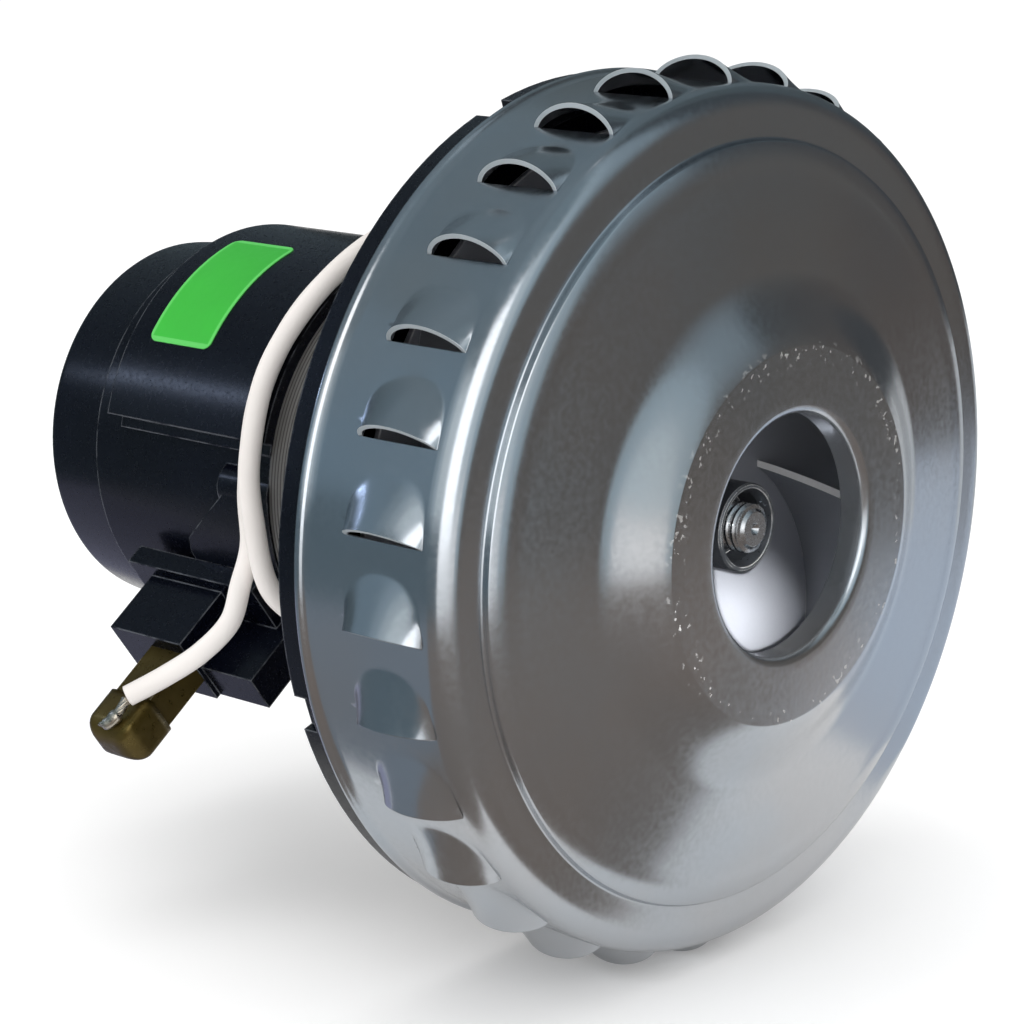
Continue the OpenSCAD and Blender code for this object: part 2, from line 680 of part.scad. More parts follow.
module brush_cap_a() brush_cap(0);
module brush_cap_b() brush_cap(1);

module carbon_brush(side) color(carbon) at_brush(side) difference() {
    bar(commutator_r - 2, brush_root + brush_len, -brush_h / 2, brush_h / 2, -brush_w / 2, brush_w / 2);
    translate([0, 0, -60]) cylinder(r = brush_root, h = 120);
}

module carbon_brush_a() carbon_brush(0);
module carbon_brush_b() carbon_brush(1);

// A coil spring between the brush and the cap
spring_x0 = brush_root + brush_len + spring_wire_r + 0.1;
spring_x1 = brush_reach - 1.2 - spring_wire_r - 0.1;
spring_steps = 10;

module brush_spring(side) color(bright_steel) at_brush(side)
    cord([for (i = [0:spring_turns * spring_steps]) let (a = 360 * i / spring_steps)
        [spring_x0 + (spring_x1 - spring_x0) * i / (spring_turns * spring_steps),
            spring_r * cos(a), spring_r * sin(a)]], spring_wire_r, 6);

module brush_spring_a() brush_spring(0);
module brush_spring_b() brush_spring(1);

// Leads with white sleeves, and the bare ends that are soldered to the brush caps
module lead_a() color(sleeve_white) on_shaft()
    cord(curve(round_shaft(lead_a_route), lead_steps), lead_r, lead_sides);
module lead_b() color(sleeve_white) on_shaft()
    cord(curve(round_shaft(lead_b_route), lead_steps), lead_r, lead_sides);

module lead_tip(side) at_brush(side) cord([
    [lead_start_r + 0.2, -tube_h / 2 - cap_wall - lead_r - 0.3, 3],
    [lead_start_r + 2.5, -tube_h / 2 - cap_wall - lead_r + 0.3, 2.8],
    [lead_start_r + 4.5, -tube_h / 2 - cap_wall - tip_r - 0.1, 2],
    [brush_reach - 0.5, -tube_h / 2 - cap_wall - tip_r - 0.1, 1]], tip_r, 8);

module lead_tips() color(copper) {
    lead_tip(0);
    lead_tip(1);
}

// Spade tabs for the supply, set in slots in the housing
module supply_tabs() color(brass) on_shaft() each_tab()
    bar(housing_in_r - 1, housing_r + tab_len, -tab_w / 2, tab_w / 2, -tab_t / 2, tab_t / 2);

fan_shell();
fan_front_plate();
fan_back_plate();
fan_blades();
fan_hub();
fan_nut();
fan_spacer();
front_bracket();
front_bearing_outer();
front_bearing_inner();
front_bearing_balls();
front_bearing_cage();
bearing_plate();
plate_screws();
shaft();
armature_core();
armature_winding();
commutator_bars();
commutator_hub();
cooling_fan();
rear_bearing_outer();
rear_bearing_inner();
rear_bearing_balls();
rear_bearing_cage();
preload_washer();
field_core();
field_coil_upper();
field_coil_lower();
through_screws();
motor_housing();
rear_cap();
cap_screws();
label();
brush_block_a();
brush_block_b();
brush_tube_a();
brush_tube_b();
brush_cap_a();
brush_cap_b();
carbon_brush_a();
carbon_brush_b();
brush_spring_a();
brush_spring_b();
lead_a();
lead_b();
lead_tips();
supply_tabs();
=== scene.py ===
"""The looks of a vacuum motor unit: a louvred steel fan shell on a black motor with brass brush gear.

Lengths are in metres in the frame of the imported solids: X runs along the shaft out of the inlet, Z is up, and
angles about the shaft run from +Y towards +Z.
"""

import logging
import math
from dataclasses import dataclass
from enum import Enum
from typing import ClassVar

import bpy
import numpy as np
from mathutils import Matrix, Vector


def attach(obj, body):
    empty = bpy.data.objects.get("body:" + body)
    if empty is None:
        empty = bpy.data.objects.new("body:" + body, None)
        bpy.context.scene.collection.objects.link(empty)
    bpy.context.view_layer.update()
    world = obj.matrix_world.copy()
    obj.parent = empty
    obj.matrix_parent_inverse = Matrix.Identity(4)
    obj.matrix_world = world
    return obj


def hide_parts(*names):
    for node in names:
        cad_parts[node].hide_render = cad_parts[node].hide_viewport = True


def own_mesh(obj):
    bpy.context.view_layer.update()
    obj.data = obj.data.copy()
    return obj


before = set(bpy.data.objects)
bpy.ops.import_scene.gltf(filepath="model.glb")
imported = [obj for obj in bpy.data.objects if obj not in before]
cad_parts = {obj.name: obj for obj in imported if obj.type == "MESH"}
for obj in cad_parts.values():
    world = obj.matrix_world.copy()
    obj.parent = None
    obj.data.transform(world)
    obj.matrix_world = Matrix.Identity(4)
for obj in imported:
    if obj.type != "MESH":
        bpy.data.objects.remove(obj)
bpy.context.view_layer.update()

MM = 0.001
SEAT_X = 3.25 * MM
RIM_X = SEAT_X - 40 * MM
# The brush in view, in degrees about the shaft and in mm behind the shell's rim
BRUSH_TURN = 216.5
BRUSH_BACK = 58.5
BRUSH_X = RIM_X - BRUSH_BACK * MM
ALONG = np.array([1.0, 0.0, 0.0])
# A direction that no tube's path starts along
OFF_PATH = np.array([0.31, 0.58, 0.75])

Colour = tuple[float, float, float]
Socket = bpy.types.NodeSocket
log = logging.getLogger("scene")


def linear(code: str) -> Colour:
    """Turns a screen colour such as "4d5965" into linear values.

    Args:
        code: Six hexadecimal digits.

    Returns:
        Linear red, green and blue.
    """
    shares = [int(code[i:i + 2], 16) / 255 for i in (0, 2, 4)]
    return tuple(s / 12.92 if s <= 0.04045 else ((s + 0.055) / 1.055) ** 2.4 for s in shares)


def polar(x: float, radius: float, angle: float) -> np.ndarray:
    """Gives the point at a place along the shaft, a distance from it and an angle about it.

    Args:
        x: Place along the shaft.
        radius: Distance from the shaft's axis.
        angle: Angle in radians.

    Returns:
        The point.
    """
    return np.array([x, radius * math.cos(angle), radius * math.sin(angle)])


def ease(share: float) -> float:
    """Goes smoothly from 0 to 1.

    Args:
        share: Place between the ends, from 0 to 1.

    Returns:
        The eased share.
    """
    share = min(max(share, 0.0), 1.0)
    return share * share * (3 - 2 * share)


def brush_axes(side: int) -> tuple[np.ndarray, np.ndarray]:
    """Gives the directions out along one brush and across it.

    Args:
        side: 0 for the brush in view, 1 for the one opposite.

    Returns:
        The direction away from the shaft and the direction about it.
    """
    angle = math.radians(BRUSH_TURN) + side * math.pi
    out = np.array([0, math.cos(angle), math.sin(angle)])
    return out, np.array([0, -math.sin(angle), math.cos(angle)])


class Graph:
    """Adds nodes to one node tree and links them."""

    def __init__(self, tree: bpy.types.NodeTree) -> None:
        """Takes the tree to work on."""
        self.tree = tree

    def add(self, kind: str, inputs: dict | None = None, **settings) -> bpy.types.Node:
        """Adds a node.

        Args:
            kind: The node's type.
            inputs: Plain values or sockets, by the input's name or number.
            settings: Attributes to set on the node.

        Returns:
            The new node.
        """
        node = self.tree.nodes.new(kind)
        for name, value in settings.items():
            setattr(node, name, value)
        for key, value in (inputs or {}).items():
            socket = node.inputs[key]
            if isinstance(value, Socket):
                self.tree.links.new(value, socket)
            elif socket.type == "RGBA":
                socket.default_value = (*value, 1.0)
            else:
                socket.default_value = value
        return node

    def math(self, operation: str, first: Socket | float, second: Socket | float = 0.0) -> Socket:
        """Adds one sum of two values and returns its result."""
        return self.add("ShaderNodeMath", {0: first, 1: second}, operation=operation).outputs[0]

    def mix(self, share: Socket, first: Socket | Colour, second: Socket | Colour) -> Socket:
        """Mixes two colours and returns the mixed colour."""
        return self.add("ShaderNodeMix", {0: share, 6: first, 7: second}, data_type="RGBA").outputs[2]

    def remap(self, value: Socket, low: float, high: float, to_low: float = 0.0,
              to_high: float = 1.0) -> Socket:
        """Maps a value smoothly from one range to another, held at both ends."""
        inputs = {0: value, 1: low, 2: high, 3: to_low, 4: to_high}
        return self.add("ShaderNodeMapRange", inputs, interpolation_type="SMOOTHSTEP").outputs[0]

    def noise(self, vector: Socket, scale: Socket | float, detail: float = 3.0) -> Socket:
        """Adds a noise texture and returns its value."""
        return self.add("ShaderNodeTexNoise", {"Vector": vector, "Scale": scale, "Detail": detail}).outputs[0]

    def group(self, effect: "Effect", **inputs) -> bpy.types.Node:
        """Adds one of the shared effects, with its inputs by name."""
        named = {name.capitalize(): value for name, value in inputs.items()}
        return self.add("ShaderNodeGroup", named, node_tree=effect.tree())


class Effect(Enum):
    """Surface effects that several finishes share, each built once as a node group."""

    EDGE = "edge"
    GRAIN = "grain"
    SPECKS = "specks"
    PLACE = "place"

    def tree(self) -> bpy.types.NodeTree:
        """Builds the effect's node group at its first use.

        Returns:
            The group.
        """
        found = bpy.data.node_groups.get(self.value)
        if found:
            return found
        tree = bpy.data.node_groups.new(self.value, "ShaderNodeTree")
        builders = {Effect.EDGE: build_edge, Effect.GRAIN: build_grain, Effect.SPECKS: build_specks,
                    Effect.PLACE: build_place}
        builders[self](tree)
        return tree


def group_ends(tree: bpy.types.NodeTree, takes: dict[str, float], gives: dict[str, str]) -> tuple:
    """Makes a group's inputs and outputs.

    Args:
        tree: The group's tree.
        takes: Names of the number inputs with their usual values.
        gives: Names of the outputs with their socket types.

    Returns:
        The group's input node and its output node.
    """
    for name, value in takes.items():
        socket = tree.interface.new_socket(name, in_out="INPUT", socket_type="NodeSocketFloat")
        socket.default_value = value
    for name, kind in gives.items():
        tree.interface.new_socket(name, in_out="OUTPUT", socket_type=kind)
    return tree.nodes.new("NodeGroupInput"), tree.nodes.new("NodeGroupOutput")


def build_edge(tree: bpy.types.NodeTree) -> None:
    """Builds rounded edges: a softened normal, and a broken mask of where an edge is rubbed bright.

    Args:
        tree: The group's tree.
    """
    graph = Graph(tree)
    start, end = group_ends(tree, {"Radius": 0.3 * MM, "Wear": 0.5},
                            {"Normal": "NodeSocketVector", "Mask": "NodeSocketFloat"})
    soft = graph.add("ShaderNodeBevel", {"Radius": start.outputs["Radius"]}, samples=6).outputs[0]
    plain = graph.add("ShaderNodeNewGeometry").outputs["Normal"]
    facing = graph.add("ShaderNodeVectorMath", {0: soft, 1: plain}, operation="DOT_PRODUCT").outputs["Value"]
    bend = graph.remap(graph.math("SUBTRACT", 1.0, facing), 0.004, 0.12)
    where = graph.add("ShaderNodeTexCoord").outputs["Object"]
    broken = graph.remap(graph.noise(where, 260.0, 4.0), 0.32, 0.58)
    mask = graph.math("MULTIPLY", graph.math("MULTIPLY", bend, broken), start.outputs["Wear"])
    tree.links.new(soft, end.inputs["Normal"])
    tree.links.new(mask, end.inputs["Mask"])


def build_grain(tree: bpy.types.NodeTree) -> None:
    """Builds a fine grain and a slow change of tone.

    Args:
        tree: The group's tree.
    """
    graph = Graph(tree)
    start, end = group_ends(tree, {"Scale": 900.0}, {"Height": "NodeSocketFloat", "Tone": "NodeSocketFloat"})
    where = graph.add("ShaderNodeTexCoord").outputs["Object"]
    fine = graph.noise(where, start.outputs["Scale"], 4.0)
    tone = graph.remap(graph.noise(where, 24.0, 3.0), 0.3, 0.7)
    tree.links.new(fine, end.inputs["Height"])
    tree.links.new(tone, end.inputs["Tone"])


def build_specks(tree: bpy.types.NodeTree) -> None:
    """Builds a mask of small scattered specks, of which a share is kept.

    Args:
        tree: The group's tree.
    """
    graph = Graph(tree)
    start, end = group_ends(tree, {"Scale": 500.0, "Share": 0.3}, {"Mask": "NodeSocketFloat"})
    where = graph.add("ShaderNodeTexCoord").outputs["Object"]
    fine = graph.noise(where, start.outputs["Scale"], 2.0)
    patch = graph.noise(where, graph.math("MULTIPLY", start.outputs["Scale"], 0.12), 2.0)
    level = graph.math("SUBTRACT", 0.78, graph.math("MULTIPLY", start.outputs["Share"], patch))
    mask = graph.remap(graph.math("SUBTRACT", fine, level), 0.0, 0.05)
    tree.links.new(mask, end.inputs["Mask"])


def build_place(tree: bpy.types.NodeTree) -> None:
    """Builds a point's place along the shaft, its distance from it and its angle about it.

    Args:
        tree: The group's tree.
    """
    graph = Graph(tree)
    kinds = {"Along": "NodeSocketFloat", "Radius": "NodeSocketFloat", "Angle": "NodeSocketFloat"}
    _, end = group_ends(tree, {}, kinds)
    where = graph.add("ShaderNodeTexCoord").outputs["Object"]
    parts = graph.add("ShaderNodeSeparateXYZ", {0: where})
    across = graph.add("ShaderNodeCombineXYZ", {1: parts.outputs[1], 2: parts.outputs[2]}).outputs[0]
    length = graph.add("ShaderNodeVectorMath", {0: across}, operation="LENGTH").outputs["Value"]
    tree.links.new(parts.outputs[0], end.inputs["Along"])
    tree.links.new(length, end.inputs["Radius"])
    tree.links.new(graph.math("ARCTAN2", parts.outputs[2], parts.outputs[1]), end.inputs["Angle"])


@dataclass(frozen=True)
class Finish:
    """A surface: its colour, a second tone that it drifts to, and how rough and grainy it is."""

    name: str
    colour: Colour
    tone: Colour
    roughness: float
    spread: float = 0.08
    metallic: float = 0.0
    edge_radius: float = 0.25 * MM
    wear: float = 0.0
    # colour of rubbed edges and scuffs; on the blade steel also of a painted highlight
    worn_and_highlight: Colour = (0.8, 0.8, 0.8)
    worn_mirror: float = 0.4
    grain: float = 900.0
    bump: float = 0.02 * MM
    shine: float = 0.5
    made: ClassVar[dict] = {}

    def material(self) -> bpy.types.Material:
        """Builds the finish's material at its first use.

        Returns:
            The material.
        """
        if self.name not in Finish.made:
            made = bpy.data.materials.new(self.name)
            made.use_nodes = True
            Finish.made[self.name] = made
            graph = Graph(made.node_tree)
            shader = made.node_tree.nodes["Principled BSDF"]
            shader.inputs["Metallic"].default_value = self.metallic
            shader.inputs["Specular IOR Level"].default_value = self.shine
            self.paint(graph, shader)
        return Finish.made[self.name]

    def paint(self, graph: Graph, shader: bpy.types.Node) -> None:
        """Fills the material's tree.

        Args:
            graph: The material's tree.
            shader: Its Principled BSDF node.
        """
        edge = graph.group(Effect.EDGE, radius=self.edge_radius, wear=self.wear)
        grain = graph.group(Effect.GRAIN, scale=self.grain)
        colour = graph.mix(grain.outputs["Tone"], self.colour, self.tone)
        colour = self.pattern(graph, colour)
        colour = graph.mix(edge.outputs["Mask"], colour, self.worn_and_highlight)
        rough = graph.remap(grain.outputs["Height"], 0.25, 0.75, self.roughness - self.spread,
                            self.roughness + self.spread)
        height = self.relief(graph, grain.outputs["Height"])
        bump = graph.add("ShaderNodeBump", {"Height": height, "Normal": edge.outputs["Normal"],
                                            "Distance": self.bump, "Strength": 1.0})
        if self.metallic and self.wear:
            graph.tree.links.new(self.mirror(graph, edge.outputs["Mask"]), shader.inputs["Metallic"])
        graph.tree.links.new(colour, shader.inputs["Base Color"])
        graph.tree.links.new(rough, shader.inputs["Roughness"])
        graph.tree.links.new(bump.outputs[0], shader.inputs["Normal"])

    def mirror(self, graph: Graph, mask: Socket) -> Socket:
        """Returns how much the surface mirrors, which is less where the mask says that an edge is rubbed."""
        return graph.remap(mask, 0.0, 1.0, self.metallic, self.worn_mirror * self.metallic)

    def pattern(self, graph: Graph, colour: Socket) -> Socket:
        """Lets a kind of finish change the colour; this one leaves it."""
        return colour

    def relief(self, graph: Graph, height: Socket) -> Socket:
        """Lets a kind of finish change the relief; this one leaves the grain."""
        return height


@dataclass(frozen=True)
class ShellSteel(Finish):
    """Pressed sheet steel, scuffed bright round the boss that the seal rubs on."""

    scuff_r: float = 29.2 * MM
    scuff_w: float = 3.2 * MM
    scuff_grain: float = 900.0
    scuff_share: float = 0.32
    throat_r: float = 19.6 * MM
    throat_dull: float = 0.5
    dulled: float = 0.65

    def scuffs(self, graph: Graph) -> Socket:
        """Adds the scuffs on the boss's edge.

        Args:
            graph: The material's tree.

        Returns:
            A mask of the scuffs.
        """
        place = graph.group(Effect.PLACE)
        off = graph.math("ABSOLUTE", graph.math("SUBTRACT", place.outputs["Radius"], self.scuff_r))
        near = graph.remap(off, 0.0, self.scuff_w, 1.0, 0.0)
        front = graph.remap(place.outputs["Along"], SEAT_X - 3 * MM, SEAT_X - 1 * MM)
        specks = graph.group(Effect.SPECKS, scale=self.scuff_grain, share=self.scuff_share)
        return graph.math("MULTIPLY", graph.math("MULTIPLY", near, front), specks.outputs["Mask"])

    def pattern(self, graph: Graph, colour: Socket) -> Socket:
        """Pales the scuffs."""
        return graph.mix(self.scuffs(graph), colour, self.worn_and_highlight)

    def mirror(self, graph: Graph, mask: Socket) -> Socket:
        """Dulls the scuffs and, by less, the inlet's throat.

        Args:
            graph: The material's tree.
            mask: Where an edge is rubbed; not used, as this steel doesn't dull its rubbed edges.

        Returns:
            How much the surface mirrors.
        """
        radius = graph.group(Effect.PLACE).outputs["Radius"]
        throat = graph.remap(radius, self.throat_r, self.throat_r + 0.5 * MM, self.throat_dull, 0.0)
        dull = graph.math("MAXIMUM", self.scuffs(graph), throat)
        return graph.remap(dull, 0.0, 1.0, self.metallic, self.dulled)


@dataclass(frozen=True)
class BladeSteel(Finish):
    """Fan steel with a painted highlight where a blade faces the inlet, along the shaft."""

    highlight_from: float = 0.12
    highlight_full: float = 0.25

    def pattern(self, graph: Graph, colour: Socket) -> Socket:
        """Paints a highlight on the faces that face along the shaft, towards the inlet.

        Args:
            graph: The material's tree.
            colour: The colour so far.

        Returns:
            The new colour.
        """
        normal = graph.add("ShaderNodeNewGeometry").outputs["Normal"]
        along = graph.add("ShaderNodeSeparateXYZ", {0: normal}).outputs[0]
        # painted highlight: faces turned towards the inlet take the finish's pale highlight colour
        return graph.mix(graph.remap(along, self.highlight_from, self.highlight_full), colour, self.worn_and_highlight)


@dataclass(frozen=True)
class Striped(Finish):
    """A surface with fine lines along or round the shaft: stacked sheets, or wound wire."""

    pitch: float = 0.8 * MM
    round_shaft: bool = False
    line: Colour = (0.02, 0.02, 0.02)
    gap: float = 0.4
    grain_share: float = 0.3

    def stripes(self, graph: Graph) -> Socket:
        """Adds the lines.

        Args:
            graph: The material's tree.

        Returns:
            A wave from 0 to 1, one per pitch.
        """
        place = graph.group(Effect.PLACE)
        step = graph.math("MULTIPLY", place.outputs["Along"], 2 * math.pi / self.pitch)
        if self.round_shaft:
            reach = graph.math("MULTIPLY", place.outputs["Angle"], place.outputs["Radius"])
            step = graph.math("MULTIPLY", reach, 2 * math.pi / self.pitch)
        return graph.remap(graph.math("SINE", step), -1.0, 1.0)

    def pattern(self, graph: Graph, colour: Socket) -> Socket:
        """Darkens the gaps between the lines."""
        return graph.mix(graph.remap(self.stripes(graph), 0.0, self.gap), self.line, colour)

    def relief(self, graph: Graph, height: Socket) -> Socket:
        """Raises the lines."""
        return graph.math("ADD", self.stripes(graph), graph.math("MULTIPLY", height, self.grain_share))


@dataclass(frozen=True)
class LabelPaper(Finish):
    """A bare label with a paler border, on a drum about the shaft."""

    middle_x: float = 0.0
    middle_angle: float = 0.0
    half_w: float = 7.5 * MM
    half_len: float = 13 * MM
    drum_r: float = 38.2 * MM
    border: Colour = (0.5, 0.8, 0.5)
    border_w: float = 0.6 * MM
    border_blur: float = 0.1 * MM

    def pattern(self, graph: Graph, colour: Socket) -> Socket:
        """Adds the border.

        Args:
            graph: The material's tree.
            colour: The colour so far.

        Returns:
            The new colour.
        """
        place = graph.group(Effect.PLACE)
        across = graph.math("ABSOLUTE", graph.math("SUBTRACT", place.outputs["Along"], self.middle_x))
        turn = graph.math("ABSOLUTE", graph.math("SUBTRACT", place.outputs["Angle"], self.middle_angle))
        reach = graph.math("MULTIPLY", turn, self.drum_r)
        near = graph.math("MAXIMUM", graph.math("SUBTRACT", across, self.half_w),
                          graph.math("SUBTRACT", reach, self.half_len))
        share = graph.remap(near, -self.border_w - self.border_blur, -self.border_w)
        return graph.mix(share, colour, self.border)


SHELL_STEEL = ShellSteel(
    name="shell steel", colour=linear("b4bbc2"), tone=linear("b8b9bb"), roughness=0.22, spread=0.04,
    metallic=1.0, edge_radius=0.2 * MM, wear=0.3, worn_and_highlight=linear("cacac8"), grain=1000.0, bump=0.006 * MM)
CUT_STEEL = Finish(
    name="cut edge", colour=linear("b9c0c3"), tone=linear("a3abaf"), roughness=0.4, spread=0.08,
    metallic=0.35, edge_radius=0.15 * MM, wear=0.6, worn_and_highlight=linear("f6f6f6"), grain=1500.0, bump=0.006 * MM)
FAN_STEEL = Finish(
    name="fan steel", colour=linear("b6b9c1"), tone=linear("a4a7af"), roughness=0.42, spread=0.08,
    metallic=0.2, edge_radius=0.5 * MM, wear=1.0, worn_and_highlight=linear("fafafa"), grain=2200.0, bump=0.008 * MM)
# its pale worn colour also paints the highlight on the blade faces towards the inlet
BLADE_STEEL = BladeSteel(
    name="blade steel", colour=linear("92959b"), tone=linear("80838a"), roughness=0.42, spread=0.08,
    metallic=0.1, edge_radius=0.3 * MM, wear=1.0, worn_and_highlight=linear("fdfdfd"), grain=2200.0, bump=0.008 * MM)
NUT_STEEL = Finish(
    name="nut steel", colour=linear("666a70"), tone=linear("54585d"), roughness=0.36, spread=0.1,
    metallic=0.8, edge_radius=0.3 * MM, wear=1.0, worn_and_highlight=linear("f4f4f2"), grain=1500.0, bump=0.01 * MM)
BRIGHT_STEEL = Finish(
    name="bright steel", colour=linear("b9bbbe"), tone=linear("a6a9ac"), roughness=0.24, spread=0.06,
    metallic=1.0, edge_radius=0.2 * MM, wear=0.3, worn_and_highlight=linear("f4f4f4"), grain=2000.0, bump=0.005 * MM)
BLACK_PLASTIC = Finish(
    name="black plastic", colour=linear("04060f"), tone=linear("070a16"), roughness=0.24, spread=0.05,
    edge_radius=0.45 * MM, wear=0.8, worn_and_highlight=linear("72767c"), grain=1500.0, bump=0.006 * MM, shine=0.3)
STACK_STEEL = Striped(
    name="stacked sheets", colour=linear("9c9b99"), tone=linear("868583"), roughness=0.55, spread=0.1,
    metallic=0.35, edge_radius=0.2 * MM, wear=0.2, worn_and_highlight=linear("c0beba"), grain=900.0, bump=0.03 * MM,
    pitch=0.7 * MM, line=linear("5a5856"))
COPPER_WIRE = Striped(
    name="copper wire", colour=linear("a4602c"), tone=linear("8a4a20"), roughness=0.34, spread=0.08,
    metallic=0.6, edge_radius=0.5 * MM, worn_and_highlight=linear("e0a070"), grain=700.0, bump=0.2 * MM, pitch=0.6 * MM,
    round_shaft=True, line=linear("3a1c0c"))
COPPER_BARS = Finish(
    name="copper bars", colour=linear("b5764a"), tone=linear("9a6038"), roughness=0.3, spread=0.08,
    metallic=1.0, edge_radius=0.15 * MM, wear=0.4, worn_and_highlight=linear("e8b890"), grain=900.0, bump=0.01 * MM)
TINNED_WIRE = Finish(
    name="tinned wire", colour=linear("c9c4ba"), tone=linear("a89c86"), roughness=0.3, spread=0.1,
    metallic=1.0, edge_radius=0.2 * MM, wear=0.2, worn_and_highlight=linear("f4f0ea"), grain=1200.0, bump=0.03 * MM)
BRASS = Finish(
    name="tarnished brass", colour=linear("6c5d2a"), tone=linear("483b1a"), roughness=0.34, spread=0.1,
    metallic=0.7, edge_radius=0.35 * MM, wear=0.6, worn_and_highlight=linear("cfc3a4"), grain=700.0, bump=0.015 * MM)
CARBON = Finish(
    name="carbon", colour=linear("26262a"), tone=linear("1c1c1f"), roughness=0.5, spread=0.1,
    edge_radius=0.2 * MM, wear=0.3, worn_and_highlight=linear("55555a"), grain=1600.0, bump=0.03 * MM)
DARK_RESIN = Finish(
    name="dark resin", colour=linear("2a2622"), tone=linear("1e1b19"), roughness=0.5, spread=0.1,
    edge_radius=0.3 * MM, wear=0.1, worn_and_highlight=linear("585048"), grain=800.0, bump=0.03 * MM)
SLEEVE_WHITE = Finish(
    name="white sleeve", colour=linear("f3eeea"), tone=linear("e6e0db"), roughness=0.6, spread=0.1,
    edge_radius=0.2 * MM, worn_and_highlight=linear("ffffff"), grain=1800.0, bump=0.03 * MM)
LABEL_GREEN = LabelPaper(
    name="green label", colour=linear("37bd38"), tone=linear("31ab33"), roughness=0.38, spread=0.06,
    edge_radius=0.1 * MM, worn_and_highlight=linear("9fe0a0"), grain=900.0, bump=0.01 * MM, middle_x=SEAT_X - 107.7 * MM,
    middle_angle=math.radians(125), border=linear("5cca5e"))

CAD_FINISHES: dict[Finish, tuple[str, ...]] = {
    FAN_STEEL: ("fan_front_plate", "fan_back_plate", "fan_hub"),
    BLADE_STEEL: ("fan_blades",),
    NUT_STEEL: ("fan_nut", "fan_spacer"),
    BRIGHT_STEEL: ("shaft", "front_bearing_outer", "front_bearing_inner", "front_bearing_balls",
                   "rear_bearing_outer", "rear_bearing_inner", "rear_bearing_balls", "bearing_plate",
                   "plate_screws", "through_screws", "cap_screws", "preload_washer"),
    BLACK_PLASTIC: ("front_bracket", "motor_housing", "rear_cap", "brush_block_a", "brush_block_b"),
    STACK_STEEL: ("field_core", "armature_core"),
    COPPER_WIRE: ("field_coil_upper", "field_coil_lower", "armature_winding"),
    COPPER_BARS: ("commutator_bars",),
    BRASS: ("brush_tube_a", "brush_tube_b", "front_bearing_cage", "rear_bearing_cage", "supply_tabs"),
    CARBON: ("carbon_brush_a", "carbon_brush_b"),
    DARK_RESIN: ("commutator_hub", "cooling_fan"),
    LABEL_GREEN: ("label",),
}

ROUNDED = {"brush_block_a": 0.5 * MM, "brush_block_b": 0.5 * MM,
           "brush_tube_a": 0.3 * MM, "brush_tube_b": 0.3 * MM}
ROUND_STEPS = 4
ROUND_OVER = math.radians(50)


def dress(piece: bpy.types.Object, finish: Finish) -> None:
    """Gives a piece one finish.

    Args:
        piece: The piece.
        finish: What it is covered with.
    """
    piece.data.materials.clear()
    piece.data.materials.append(finish.material())


def soften(piece: bpy.types.Object, width: float) -> None:
    """Rounds a piece's sharp edges.

    Args:
        piece: The piece.
        width: How far the rounding reaches from each edge.
    """
    round_edges = piece.modifiers.new("round edges", "BEVEL")
    round_edges.width = width
    round_edges.segments = ROUND_STEPS
    round_edges.limit_method = "ANGLE"
    round_edges.angle_limit = ROUND_OVER


def add_mesh(name: str, points: np.ndarray, faces: list) -> bpy.types.Object:
    """Adds a smooth mesh to the scene.

    Args:
        name: The piece's name.
        points: Its corners.
        faces: Lists of corner numbers.

    Returns:
        The new object.
    """
    mesh = bpy.data.meshes.new(name)
    mesh.from_pydata([tuple(p) for p in points], [], faces)
    mesh.validate()
    mesh.shade_smooth()
    piece = bpy.data.objects.new(name, mesh)
    bpy.context.scene.collection.objects.link(piece)
    return piece


def thicken(piece: bpy.types.Object, sheet: float) -> bpy.types.Modifier:
    """Gives a sheet its thickness, inwards from its outer face.

    Args:
        piece: The sheet.
        sheet: Its thickness.

    Returns:
        The modifier.
    """
    solid = piece.modifiers.new("sheet", "SOLIDIFY")
    solid.thickness = sheet
    solid.offset = -1
    return solid


def stand_in(piece: bpy.types.Object, node: str, finish: Finish) -> None:
    """Puts a piece that rides on the frame in the place of a solid, and dresses it.

    Args:
        piece: The piece.
        node: The solid's node.
        finish: What it is covered with.
    """
    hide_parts(node)
    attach(piece, "frame")
    dress(piece, finish)


def grid_faces(rows: int, width: int, closed: bool = False) -> list[list[int]]:
    """Gives the faces between rows of corners.

    Args:
        rows: How many rows there are.
        width: Corners in a row.
        closed: Whether each row's last corner joins its first.

    Returns:
        Lists of four corner numbers.
    """
    steps = [(i, (i + 1) % width) for i in range(width if closed else width - 1)]
    starts = [(row * width, (row + 1) * width) for row in range(rows - 1)]
    return [[low + i, low + j, high + j, high + i] for low, high in starts for i, j in steps]


def smooth_path(points: np.ndarray, steps: int) -> np.ndarray:
    """Draws a smooth curve through points.

    Args:
        points: The points that it passes through.
        steps: Pieces between each two of them.

    Returns:
        The curve's points.
    """
    ends = np.vstack([points[:1], points, points[-1:]])
    found = []
    for i in range(len(points) - 1):
        before, first, second, after = ends[i:i + 4]
        for share in np.arange(steps) / steps:
            found.append(0.5 * (2 * first + (second - before) * share
                                + (2 * before - 5 * first + 4 * second - after) * share ** 2
                                + (3 * first - before - 3 * second + after) * share ** 3))
    return np.array(found + [points[-1]])


